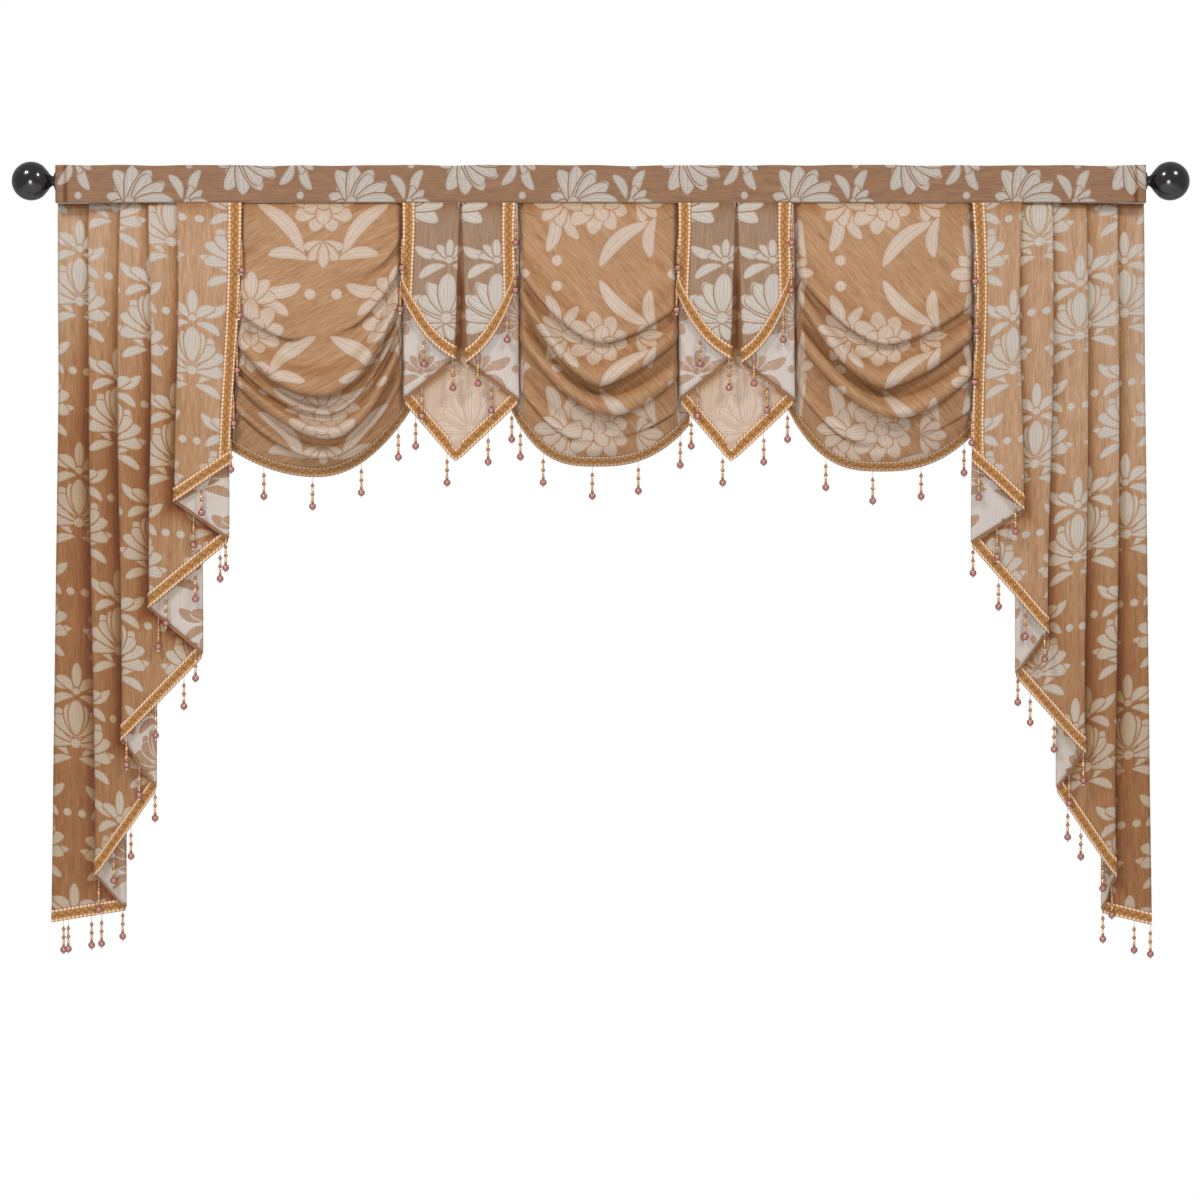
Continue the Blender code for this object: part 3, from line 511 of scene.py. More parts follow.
def pleat_points(piece, columns, z):
    """The points of a pleated piece at heights z, an array of rows by columns. A soft wave that
    depends on the place alone runs through the whole stack, so that the layers nest."""
    first, leave, second, arrive, share = columns.T
    xa, ya = fold_place(piece, first, leave, z)
    xb, yb = fold_place(piece, second, arrive, z)
    x, y = between(xa, xb, share), between(ya, yb, share)
    edge = abs(piece.turns[0].x_low)
    clear = JABOT_WAVE
    if not piece.both_ends:
        clear = smooth_step((np.abs(x) - edge - STILL_EDGE) / STILL_FADE)
    y = y + TAIL_WAVE * uneven(x, z, piece.seed) * clear * smooth_step((TOP - z) / WAVE_BELOW)
    return np.stack([x + piece.centre, y, z + 0 * x], axis=-1)


def run_along(piece, step, fold_steps):
    """A pleated piece's columns, and how far along the cloth each lies."""
    columns = pleat_columns(piece.turns, step, fold_steps)
    free = np.full((1, len(columns)), TOP - piece.spread.length)
    return columns, distances(pleat_points(piece, columns, free)[0, :, :2])


@lru_cache(maxsize=None)
def pleat_path(name):
    """The cloth's columns, how far along it each lies, and how far along the folds' middles."""
    piece = PLEATED[name]
    columns, along = run_along(piece, COLUMN_STEP, FOLD_STEPS)
    at_fold = columns[:, 0] == columns[:, 2]
    middles = np.array([along[at_fold & (columns[:, 0] == k)].mean() for k in
                        range(len(piece.turns))])
    return columns, along, middles


@lru_cache(maxsize=None)
def fine_hem(name):
    """The same at the braid's fine step, the lengths made equal, with the hem's height and lean
    at each column."""
    piece = PLEATED[name]
    columns, along = run_along(piece, BRAID_STEP, BRAID_FOLD_STEPS)
    middles = pleat_path(name)[2]
    along = along * middles[-1] / along[-1]
    return (columns, along, middles, *pleat_hem(piece, along, middles))


def rounded_cut(share):
    """How far a flap's hem has dropped from its outer edge (0) to its tip (1): half of it is
    straight and half of it falls off early, as 1 - (1 - share)^3."""
    return 0.5 * share + 0.5 * (1 - (1 - share) ** 3)


def pleat_hem(piece, along, middles):
    """The hem's height and lean at each distance along the cloth: straight cuts from fold to
    fold. A piece with braid at both ends has curved flaps and a rounded tip."""
    fine = np.linspace(0, middles[-1], HEM_SAMPLES)
    at_turns = [row.z_hem for row in piece.turns]
    heights = np.interp(fine, middles, at_turns)
    if piece.both_ends:
        first = fine / middles[1]
        last = (middles[-1] - fine) / (middles[-1] - middles[-2])
        for share, edge, tip in ((first, at_turns[0], at_turns[1]),
                                 (last, at_turns[-1], at_turns[-2])):
            curve = between(edge, tip, rounded_cut(np.minimum(share, 1)))
            heights = np.where(share < 1, curve, heights)
    padded = np.pad(heights, HEM_SOFT, mode="reflect", reflect_type="odd")
    window = 2 * HEM_SOFT + 1
    heights = np.convolve(padded, np.ones(window) / window, "valid")
    hem = np.interp(along, fine, heights)
    slope = np.interp(along, fine, np.gradient(heights, fine))
    if piece.tip_round:
        tip = middles[len(middles) // 2]
        near = smooth_step(1 - np.abs(along - tip) / TIP_REACH)
        hem = hem + piece.tip_round * near
        slope = slope * (1 - near)
    return hem, np.clip(np.sqrt(1 + slope**2), 1.0, STEEPEST_HEM)


def shade_under_heading(z):
    """Painted shade where the cloth comes out pinched from under the heading, fading
    exponentially.
    """
    return SEAM_SHADE * np.exp(-np.clip(TOP - z, 0, None) / SEAM_FADE)


def cut_height(piece, k, x):
    """The height of the cut from turn k to the next one, over the place x."""
    ends = sorted((piece.turns[k], piece.turns[k + 1]), key=lambda turn: turn.x_low)
    return np.interp(x, [turn.x_low for turn in ends], [turn.z_hem for turn in ends])


def pleat_painted_shade(piece, columns, grid):
    """Painted shade on a layered piece. A layer that comes out from behind the fold or the cut of
    the layers in front of it is painted dark there, fading over a short way, the more so the
    lower it hangs, and the outer and lower parts of a tail are a little darker all over. A jabot
    gets painted shade along the slit at its middle, and its other layers only next to the cuts."""
    x, z = grid[..., 0] - piece.centre, grid[..., 2]
    depth = shade_under_heading(z)
    layer = columns[:, 0] + 0.5 * (columns[:, 0] < columns[:, 2])
    if piece.both_ends:
        inner = (columns[:, 0] >= 1) & (columns[:, 2] <= 5)
        reach = SLIT.half + SLIT.opens * smooth_step((TOP - SLIT.below - z) / SLIT.height)
        slit = smooth_step((reach - np.abs(x)) / SLIT.edge)
        slit *= smooth_step((z - SLIT.above - FLAP_TIP) / SLIT.fades)
        depth = np.maximum(depth, np.where(inner, slit, 0))
        for first, last, lowest in ((0, 5, np.maximum), (1, 4, np.minimum)):
            mine = (layer > first + 1) & (layer < last)
            cut = lowest(cut_height(piece, first, x), cut_height(piece, last, x))
            shade = JABOT_CUT_SHADE * np.exp(-np.clip(cut - z, 0, None) / JABOT_CUT_FADE)
            depth = np.maximum(depth, np.where(mine, shade, 0))
        return depth
    inner, outer = (abs(piece.turns[k].x_low) for k in (0, -1))
    out = np.clip((np.abs(x) - inner) / (outer - inner), 0, 1)
    low = smooth_step((-z - piece.warm_from) / piece.warm_over)
    broad = TAIL_SHADE * (1 - low) * (1 - out) + low * (TAIL_SHADE + TAIL_OUTER_SHADE * out)
    for k in range(1, len(piece.turns) - 1):
        mine = (layer >= k + 0.25) & (layer < k + 1.25)
        edge = fold_place(piece, np.full(1, k - 1 + k % 2), np.zeros(1), z)[0]
        beside = np.abs(x) - np.abs(edge) if k % 2 == 0 else np.full(x.shape, -1.0)
        below = cut_height(piece, k - 1, x) - z
        away = np.clip(np.maximum(beside, below), 0, None) / (LAYER_FADE + LAYER_WIDER * low)
        strength = LAYER_SHADE + LAYER_SHADE_ADDED_LOW * low
        strength -= LAYER_FAINTER * smooth_step((-z - FAINTER_FROM) / FAINTER_OVER)
        shade = np.exp(-away**LAYER_FALLOFF) * strength * (CUT_SHARE if k % 2 else 1.0)
        depth = np.maximum(depth, np.where(mine, shade, 0))
    return depth + broad * (1 - depth)


@lru_cache(maxsize=None)
def pleated_cloth(name, braid_width):
    """The cloth's points, their places on the flat cloth, in millimetres, their painted shade, and
    which columns make up a jabot's back layer."""
    piece = PLEATED[name]
    columns, along, middles = pleat_path(name)
    hem, lean = pleat_hem(piece, along, middles)
    keep = along >= BRAID_SHOWS_BELOW
    if piece.both_ends:
        keep &= along <= along[-1] - BRAID_SHOWS_BELOW
    columns, along, hem, lean = columns[keep], along[keep], hem[keep], lean[keep]
    foot = hem + BRAID_SHOWS_BELOW * lean
    rows = int(math.ceil((TOP - foot.min()) / ROW_STEP))
    z = between(TOP, foot, np.linspace(0, 1, rows + 1)[:, None])
    grid = pleat_points(piece, columns, z)
    flat = np.stack([np.broadcast_to(along, z.shape), z - piece.lean * along], axis=-1)
    turn = columns[:, 0] + columns[:, 4] + 0.001 * columns[:, 1] * (columns[:, 0] == columns[:, 2])
    middle = 0.5 * (turn[1:] + turn[:-1])
    back_layer = (middle > 2) & (middle < 4) if piece.both_ends else None
    return grid, flat, pleat_painted_shade(piece, columns, grid), back_layer


def braid_relief(along, across, width, thickness):
    """How far a braid's face stands above its back. Two beaded cords run along its edges, and a
    zigzag of gimp along its middle; each is a half-round ridge over its own line."""
    cord = CORD_SHARE * width
    beads = 0.2 + 0.8 * np.abs(np.cos(math.pi * along / BEAD_PITCH)) ** 0.6
    edges = sum(
        np.sqrt(np.clip(1 - ((across - at) / cord) ** 2, 0, 1)) * beads
        for at in (cord, width - cord)
    )
    zigzag = 0.5 * width + ZIGZAG_SHARE * width * (2 / math.pi) * np.arcsin(
        np.sin(2 * math.pi * along / ZIGZAG_PITCH)
    )
    gimp = np.sqrt(np.clip(1 - ((across - zigzag) / (ZIGZAG_SHARE * width)) ** 2, 0, 1))
    return thickness * np.clip(0.36 + 0.64 * edges + 0.34 * gimp, 0, 1.0)


def braid_band(grid, along, across, sizes, width=None):
    """A closed strip of braid on the face side of a grid: points, faces, flat places and each
    face's finish, which is 1 at the back."""
    width, thickness = width or sizes.braid_width / MM, sizes.braid_thickness / MM
    near = sizes.cloth_thickness / MM / 2 + BRAID_SEAT
    normal = normals_of(grid)
    relief = braid_relief(along, across, width, thickness)[..., None]
    front, back = grid + normal * (near + relief), grid + normal * near
    rows, columns = grid.shape[:2]
    quads = slab_quads(rows, columns)
    facing = np.cross(front[1, 0] - front[0, 0], front[0, 1] - front[0, 0])
    if facing @ normal[0, 0] < 0:
        quads = quads[:, ::-1]
    flat = np.stack([along + 0 * across, across / width + 0 * along], axis=-1).reshape(-1, 2)
    points = np.concatenate([front.reshape(-1, 3), back.reshape(-1, 3)])
    count = (rows - 1) * (columns - 1)
    finish = np.repeat((0, 1, 0), (count, count, len(quads) - 2 * count))
    return points, quads, np.concatenate([flat, flat]), finish


def pleat_braids(name, sizes):
    """The braid of a pleated piece: one band along the stepped hem and one up each free edge."""
    piece = PLEATED[name]
    width = sizes.braid_width / MM
    columns, along, middles, hem, lean = fine_hem(name)
    across = np.linspace(width, 0, BRAID_ACROSS + 1)[:, None]
    grid = pleat_points(piece, columns, hem + lean * across)
    run = distances(np.stack([along, hem], axis=-1))[None, :]
    bands = [braid_band(grid, run + 0 * across, across + 0 * run, sizes)]
    for last in (False, True) if piece.both_ends else (False,):
        strip = edge_columns(piece.turns, width, last)
        place = middles[-1] if last else 0.0
        inward = np.linspace(0, width, BRAID_ACROSS + 1)
        hem, lean = pleat_hem(piece, np.abs(place - inward), middles)
        foot = hem + lean * width
        rows = int((TOP - foot.mean()) / BRAID_STEP)
        start = TOP - EDGE_BRAID_BELOW
        z = start + (foot - TOP + EDGE_BRAID_BELOW) * np.linspace(0, 1, rows + 1)[:, None]
        grid = pleat_points(piece, strip, z)
        if last:
            grid, z, inward = grid[:, ::-1], z[:, ::-1], inward[::-1]
        bands.append(braid_band(grid, -z, np.broadcast_to(inward, z.shape), sizes))
    return bands


# ---------------------------------------------------------------- swags

def crease_height(row, x, left, right, shift):
    """A crease sags from both ends to its lowest point, along a power curve on each side."""
    low = row.x_low + shift
    near = np.clip((low - x) / (low - left), 0, None) ** row.rise_left
    far = np.clip((x - low) / (right - low), 0, None) ** row.rise_right
    return between(row.z_low, row.z_left, near) + (row.z_right - row.z_low) * far


def swag_inner(hang, u):
    """The share of the way across between a swag's two tucked ends."""
    return np.clip((u - hang.tuck_left) / (1 - hang.tuck_left - hang.tuck_right), 0, 1)


def roll_fade(hang, u):
    """A swag's body comes forward beside its neighbours' edges along two soft steps."""
    inner = swag_inner(hang, u)
    return smooth_step(inner / SWAG_FADE) * smooth_step((1 - inner) / SWAG_FADE)


def swag_line(hang, k, share, u):
    """One row of a swag before its roll is added: x and the two creases' heights, the body's
    depth, and how far the roll fades at the ends."""
    last = len(hang.table) - 1
    down = (k + share) / last
    left = between(hang.left_top, hang.left_low, down)
    right = between(hang.right_top, hang.right_low, down)
    x = between(left, right, u)
    sag = hang.extra * down * np.sin(math.pi * u)
    above = crease_height(hang.table[k], x, left, right, hang.shift) - sag
    below = crease_height(hang.table[k + 1], x, left, right, hang.shift) - sag
    inner = swag_inner(hang, u)
    fade = roll_fade(hang, u)
    fullest = np.minimum(down, SWAG_FULLEST)
    belly = SWAG_BELLY * np.sin(0.5 * math.pi * fullest / SWAG_FULLEST) ** 0.8
    belly = belly - (SWAG_BELLY - SWAG_HEM_BELLY) * (down - fullest) / (1 - SWAG_FULLEST)
    seam = SWAG_SEAM_FRONT * (1 - down)
    back = between(SWAG_SEAM_Y, SWAG_HEM_Y, np.minimum(1.0, 2 * down))
    y = back - belly * np.sin(math.pi * inner) ** SWAG_ROUND - seam * fade
    long, short = SWAG_WAVES
    wave = long * np.sin(2 * math.pi * (1.55 * (k + share) + 0.3 * np.sin(5 * u + hang.seed)))
    wave += short * np.sin(2 * math.pi * (2.7 * (k + share) - 1.3 * u) + hang.seed)
    y = y - wave * fade * smooth_step(3 * down)
    return x, above, below, y, fade


def roll_size(hang, k, u):
    rolls = hang.table[k + 1]
    side = np.where(u < 0.5, rolls.roll_left, rolls.roll_right)
    return between(side, rolls.roll_mid, 1 - np.abs(2 * u - 1))


def roll_rows(hang, k, u):
    """The rows of one roll. From the upper crease the cloth hangs down and swells forward, as a
    power of a sine, to the front of the nose, goes round the nose's arc and back up under it.
    Where a roll is too flat to stand out, its rows lie evenly between the creases."""
    rise = np.linspace(0, 1, ROLL_RISE + 1)
    arc = np.radians(np.linspace(0, NOSE_TURN, ROLL_NOSE + 1)[1:])
    back = np.linspace(0, 1, ROLL_BACK + 1)[1:-1]
    share = np.concatenate([NOSE_FROM * rise, NOSE_FROM + NOSE_SHARE * arc / arc[-1],
                            NOSE_TO + BACK_SHARE * back])
    x, above, below, y, fade = swag_line(hang, k, share[:, None], u)
    full = ROLL_FULL * roll_size(hang, k, u) * fade
    size = np.broadcast_to(full * smooth_step((full - 1) / ROLL_STARTS), x.shape)
    radius = np.minimum(NOSE_RADIUS, 0.5 * size)
    nose_z = below + NOSE_LIFT * radius
    up, over = ROLL_RISE + 1, ROLL_RISE + 1 + ROLL_NOSE
    out, z = np.zeros_like(x), np.zeros_like(x)
    out[:up] = size[:up] * np.sin(0.5 * math.pi * rise[:, None]) ** ROLL_SWELL
    z[:up] = between(above[:up], nose_z[:up], rise[:, None])
    bend = arc[:, None]
    out[up:over] = size[up:over] - radius[up:over] * (1 - np.cos(bend))
    z[up:over] = nose_z[up:over] - radius[up:over] * np.sin(bend)
    out[over:] = out[over - 1] * (1 - back[:, None])
    z[over:] = between(z[over - 1], below[over:], back[:, None])
    z = between(between(above, below, share[:, None]), z, smooth_step(size / ROLL_STANDS))
    return np.stack([x, y - out, z], axis=-1)


def swag_foot(hang, u):
    """The hem's line and its lean."""
    last = len(hang.table) - 1
    x, _, below, y, _ = swag_line(hang, last - 1, np.ones((1, 1)), u)
    hem = np.stack([x, y, below], axis=-1)[0]
    slope = np.gradient(hem[:, 2], hem[:, 0])
    return hem, np.clip(np.sqrt(1 + slope**2), 1, STEEPEST_SWAG)


def swag_foot_rows(hang, u, lifts):
    hem, lean = swag_foot(hang, u)
    lifts = np.asarray(lifts, float)[:, None]
    rows = np.repeat(hem[None], len(lifts), axis=0)
    rows[:, :, 1] += SWAG_HEM_FLARE * lifts / FLARE_OVER
    rows[:, :, 2] += lifts * lean
    return rows


@lru_cache(maxsize=None)
def swag_cloth(name, braid_width):
    """A swag's points, their places on the flat cloth and their painted shade. The flat place is
    the distance down each column against x from the swag's middle."""
    hang = SWAGS[name]
    u = np.linspace(0, 1, SWAG_COLUMNS + 1)
    last = len(hang.table) - 1
    x, above, _, y, _ = swag_line(hang, last - 1, np.zeros((1, 1)), u)
    crease = np.stack([x, y, above], axis=-1)
    foot = swag_foot_rows(hang, u, (braid_width, 0.66 * braid_width, 0.33 * braid_width,
                                    BRAID_SHOWS_BELOW))
    share = np.linspace(0, 1, 6)[:-1, None, None]
    panel = between(crease, foot[:1], share)
    panel[..., 1] -= PANEL_SWELL * np.sin(math.pi * share[..., 0]) * roll_fade(hang, u)
    lowest = np.concatenate([panel, foot])
    fall = (crease[..., 2] - lowest[..., 2]) / CREASE_FADE
    # Painted shade below the last crease, fading down the hem panel
    shade = 0.6 * crease_painted_shade(hang, last - 2, u) * np.exp(-np.clip(fall, 0, None))
    grid = np.concatenate([roll_rows(hang, k, u) for k in range(last - 1)] + [lowest])
    depth = np.concatenate([roll_painted_shade(hang, k, u) for k in range(last - 1)] + [shade])
    flat = np.stack([grid[..., 0] - 0.5 * (hang.left_top + hang.right_top), -distances(grid)],
                    axis=-1)
    return grid, flat, np.maximum(depth, shade_under_heading(grid[..., 2])), None


def crease_painted_shade(hang, k, u):
    """Painted shade in the crease below roll k, in proportion to the roll's size up to 14 mm."""
    if k < 0:
        return np.zeros_like(u)
    return CREASE_SHADE * np.clip(roll_size(hang, k, u) / 14.0, 0, 1)


def roll_painted_shade(hang, k, u):
    """The painted shade on each row of a roll: it comes out of the crease above it, fading as
    exp(-distance / CREASE_FADE), is darker in the hollow where the roll starts to swell, as a bell
    curve of the height above its nose, and turns into the crease below it once it is past its
    nose."""
    rows = roll_rows(hang, k, u)
    up = ROLL_RISE + 1
    fall = rows[0, :, 2] - rows[:, :, 2]
    depth = crease_painted_shade(hang, k - 1, u) * np.exp(-np.clip(fall, 0, None) / CREASE_FADE)
    above = rows[:up, :, 2] - rows[up - 1, :, 2]
    middle = np.minimum(HOLLOW_ABOVE, 0.5 * above[0])
    hollow = np.exp(-(((above - middle) / (0.45 * middle + 1)) ** 2))
    depth[:up] = np.maximum(depth[:up], HOLLOW_SHADE * crease_painted_shade(hang, k, u) * hollow)
    turned = np.linspace(0, 1, len(rows) - up)[:, None]
    depth[up:] = np.maximum(depth[up:], crease_painted_shade(hang, k, u) * smooth_step(1.5 * turned))
    return depth


def swag_braid(name, sizes):
    width = SWAG_BRAID * sizes.braid_width / MM
    hang = SWAGS[name]
    length = distances(swag_foot(hang, np.linspace(0, 1, 60))[0])[-1]
    u = np.linspace(0, 1, int(length / BRAID_STEP) + 1)
    across = np.linspace(width, 0, BRAID_ACROSS + 1)[:, None]
    run = distances(swag_foot(hang, u)[0])[None, :]
    grid = swag_foot_rows(hang, u, across[:, 0])
    return [braid_band(grid, run + 0 * across, across + 0 * run, sizes, width)]


# ---------------------------------------------------------------- heading, rod ends

def heading_path():
    """The middle of the cloth round the rod pocket, as y and z: up the front, over the header's
    fold, down its back layer, round the rod and down to the seam at the back."""
    half = HEADING_HALF
    front = np.stack([np.full(HEADING_ROWS, HEADING_FRONT + half), np.linspace(
        HEADING_BOTTOM + half, HEADING_TOP - half, HEADING_ROWS)], axis=-1)
    angles = np.radians(np.linspace(180, 0, 7))[1:]
    fold = np.stack([HEADING_FRONT + 2 * half + half * np.cos(angles),
                     HEADING_TOP - half + half * np.sin(angles)], axis=-1)
    radius = ROD_RADIUS + POCKET_CLEAR + half
    angles = np.radians(np.linspace(*POCKET_ARC, 22))
    pocket = np.stack([radius * np.cos(angles), radius * np.sin(angles)], axis=-1)
    seam_at = np.array([HEADING_SEAM_BACK - half, HEADING_BOTTOM + half])
    seam = between(pocket[-1], seam_at, np.linspace(0, 1, 8)[1:, None])
    floor = between(seam[-1], front[0], np.linspace(0, 1, 6)[1:, None])
    return np.concatenate([front, fold, pocket, seam, floor])


def heading_cloth():
    """The heading swept along the rod. Its front is uneven by a millimetre, the header's top
    waves a little, and the side hems are doubled."""
    path = heading_path()
    x = np.linspace(HEADING_LEFT, HEADING_RIGHT, HEADING_COLUMNS)
    grid = np.zeros((len(path), HEADING_COLUMNS, 3))
    grid[..., 0], grid[..., 1], grid[..., 2] = x, path[:, :1], path[:, 1:]
    up = smooth_step((grid[..., 2] - ROD_RADIUS) / 12)
    grid[..., 2] += up * (HEADER_WAVE * uneven(x * 0.7, 0, 2) - HEADING_DIP)
    front = (np.arange(len(path)) < HEADING_ROWS)[:, None]
    front = front * smooth_step((grid[..., 2] - HEADING_BOTTOM - 1) / 12)
    ends = np.minimum(x - HEADING_LEFT, HEADING_RIGHT - x)
    hem = SIDE_HEM_HEIGHT * smooth_step((HEADING_SIDE_HEM - ends) / 1.5)
    grid[..., 1] -= front * (FRONT_WAVE * uneven(x * 0.8, grid[..., 2] * 2, 5) + hem)
    flat = np.stack(np.broadcast_arrays(grid[..., 0], distances(path)[:, None]), axis=-1)
    # Painted shade along the side hem's stitching line
    stitch = smooth_step(1 - np.abs(ends - HEADING_SIDE_HEM) / 2.0)
    depth = np.broadcast_to(STITCH_SHADE * stitch, grid.shape[:2])
    return grid, flat, depth


def turned_points(profile, sides):
    """A form turned about the X axis: its profile's radius carried round a circle."""
    x, radius = np.array(profile, float).T
    angles = np.arange(sides) * 2 * math.pi / sides
    return np.stack([np.repeat(x[:, None], sides, 1), radius[:, None] * np.cos(angles),
                     radius[:, None] * np.sin(angles)], axis=-1)


def turned_quads(rings, sides, start=0):
    """Faces between rings of points, without the ends."""
    index = np.arange(rings * sides).reshape(rings, sides) + start
    after = np.roll(index, -1, axis=1)
    return np.stack([index[:-1], index[1:], after[1:], after[:-1]], axis=-1).reshape(-1, 4)


def finial_profile():
    """Place along the axis from the ball's middle, and radius: most of a circle, then the neck
    and the collar."""
    angles = np.radians(np.linspace(0, 128, 34))
    ball = np.stack([-BALL_RADIUS * np.cos(angles), BALL_RADIUS * np.sin(angles)], axis=-1)
    return np.concatenate([ball, FINIAL_NECK])


# ---------------------------------------------------------------- bead drops

def bead_profile():
    """Depth, radius and finish down a bead drop. A round bead is a circle's arc, a bugle is a
    straight tube with five rings, and the thread is plain."""
    rows = []
    for bead in BEADS:
        if bead.finish == 0:
            t = np.array([0, 0.5, 1])
            radius = np.full(3, bead.radius)
        elif bead.finish == 1:
            t = np.linspace(0, 1, BUGLE_RINGS + 1)
            radius = bead.radius * (0.9 + 0.1 * np.cos(BUGLE_RINGS * math.pi * t))
            radius[[0, -1]] *= 0.72
        else:
            around = math.pi * np.linspace(0, 1, BEAD_RINGS + 1)
            t = 0.5 * (1 - np.cos(around))
            radius = np.maximum(bead.radius * np.sin(around), 0.5)
        depth = bead.top + (bead.bottom - bead.top) * t
        rows.append(np.stack([depth, radius, np.full(len(t), bead.finish)]))
    return np.concatenate(rows, axis=1)


def drops_arrays(tops, ends):
    """All drops of one trim at once: the same turned profile between each top and end."""
    depth, radius, finish = bead_profile()
    tops, ends = np.array(tops), np.array(ends)
    axis = (ends - tops) / np.linalg.norm(ends - tops, axis=1, keepdims=True)
    side = np.cross(axis, (1.0, 0.0, 0.0))
    side /= np.linalg.norm(side, axis=1, keepdims=True)
    other = np.cross(axis, side)
    angles = np.arange(BEAD_SIDES) * 2 * math.pi / BEAD_SIDES
    circle = (np.cos(angles)[:, None] * side[:, None, None, :]
              + np.sin(angles)[:, None] * other[:, None, None, :])
    points = (tops[:, None, None, :] + axis[:, None, None, :] * depth[None, :, None, None]
              + circle * radius[None, :, None, None])
    rings = len(depth)
    quads = turned_quads(rings, BEAD_SIDES)
    ring_finish = np.repeat(finish[:-1].astype(int), BEAD_SIDES)
    each = rings * BEAD_SIDES
    starts = np.arange(len(tops)) * each
    low = np.arange(BEAD_SIDES)
    caps = np.stack([low[::-1], low + each - BEAD_SIDES])
    return points.reshape(-1, 3), quads, ring_finish, starts, caps


def hang_end(tree, top, length):
    """The lower end of a drop: straight down, or leaning forwards off what lies behind it."""
    low_y = top[1]
    for bead in BEADS[2:8]:
        depth = 0.5 * (bead.top + bead.bottom)
        share = depth / length
        for aside in (-bead.radius, 0.0, bead.radius):
            start = Vector(((top[0] + aside) * MM, -1.0, (top[2] - depth) * MM))
            hit = tree.ray_cast(start, Vector((0.0, 1.0, 0.0)))[0]
            if hit is not None:
                need = hit.y / MM - bead.radius - DROP_CLEAR
                low_y = min(low_y, top[1] + (need - top[1]) / share)
    return np.array([top[0], low_y, top[2] - length])


def drop_places(name, sizes):
    """Where the drops of a trim start, in the middle of the braid's thickness at its lower or
    outer edge."""
    out = sizes.cloth_thickness / MM / 2 + BRAID_SEAT + sizes.braid_thickness / MM / 2
    if name in SWAGS:
        along = np.linspace(0, 1, 400)
        rows = swag_foot_rows(SWAGS[name], along, (1.0, 0.0))
        places = SWAG_DROPS[name]
    else:
        piece = PLEATED[name]
        kind = "jabot" if piece.both_ends else name
        columns, along, middles, hem, lean = fine_hem(name)
        rows = pleat_points(piece, columns, hem + lean * np.array([[1.0], [0.0]]))
        places = [between(middles[k], middles[k + 1], share)
                  for k, shares in enumerate(HEM_DROPS[kind]) for share in shares]
    line = rows[1] + normals_of(rows)[1] * out
    tops = [np.array([np.interp(place, along, axis) for axis in line.T]) for place in places]
    if name in SWAGS:
        return tops
    for last, heights in zip((False, True), EDGE_DROPS[kind]):
        strip = edge_columns(piece.turns, sizes.braid_width / MM, last)[:2]
        for height in heights:
            edge, inner = pleat_points(piece, strip, np.full((1, 2), float(height)))[0]
            beyond = EDGE_DROP_OUT * np.sign(edge[0] - inner[0])
            tops.append(edge + np.array([beyond, -out, 0]))
    return tops


# ---------------------------------------------------------------- node helpers

def feed(tree, sockets, values):
    """Joins each named or numbered input to another node's output, or sets it to a value."""
    for name, value in values.items():
        if isinstance(value, bpy.types.NodeSocket):
            tree.links.new(value, sockets[name])
        else:
            sockets[name].default_value = value


def put(tree, kind, inputs, **settings):
    """Adds a node, sets it up and feeds its inputs."""
    made = tree.nodes.new(kind)
    for name, value in settings.items():
        setattr(made, name, value)
    feed(tree, made.inputs, inputs)
    return made


def use_group(tree, name, inputs):
    return put(tree, "ShaderNodeGroup", inputs, node_tree=bpy.data.node_groups[name]).outputs


def calc(tree, operation, *values, clamp=False):
    return put(tree, "ShaderNodeMath", dict(enumerate(values)), operation=operation,
               use_clamp=clamp).outputs[0]


def vector_calc(tree, operation, *values):
    return put(tree, "ShaderNodeVectorMath", dict(enumerate(values)),
               operation=operation).outputs[0]


def blend_colour(tree, share, first, second, mode="MIX"):
    """A mix of two colours, each a node's output or three numbers."""
    first, second = (c if isinstance(c, bpy.types.NodeSocket) else (*c, 1)
                     for c in (first, second))
    return put(tree, "ShaderNodeMix", {0: share, 6: first, 7: second}, data_type="RGBA",
               blend_type=mode).outputs[2]


def turned_cloth(tree, degrees, up=0.0):
    """The place on the flat cloth, turned and moved up by millimetres."""
    place = put(tree, "ShaderNodeUVMap", {}, uv_map="flat_cloth").outputs[0]
    return put(tree, "ShaderNodeMapping", {
        "Vector": place, "Location": (0.0, up * MM, 0.0),
        "Rotation": (0.0, 0.0, math.radians(degrees))}).outputs[0]


def rough_surface(tree, shader, height, strength, distance):
    bump = put(tree, "ShaderNodeBump",
               {"Height": height, "Strength": strength, "Distance": distance})
    feed(tree, shader.inputs, {"Normal": bump.outputs[0]})


def new_group(name, inputs, outputs):
    """A shader node group with named sockets, from a default for each: a number is a Float's
    and three numbers are a Vector's."""
    tree = bpy.data.node_groups.new(name, "ShaderNodeTree")
    for way, sockets in (("INPUT", inputs), ("OUTPUT", outputs)):
        for label, value in sockets.items():
            kind = "NodeSocketVector" if isinstance(value, tuple) else "NodeSocketFloat"
            tree.interface.new_socket(label, in_out=way, socket_type=kind).default_value = value
    return (tree, tree.nodes.new("NodeGroupInput").outputs,
            tree.nodes.new("NodeGroupOutput").inputs)


def cloth_group(name, *outputs):
    """A group that works from the place on the flat cloth alone."""
    tree, start, end = new_group(name, {"Cloth": ORIGIN}, dict.fromkeys(outputs, 0.0))
    return tree, start["Cloth"], end


# ---------------------------------------------------------------- node groups

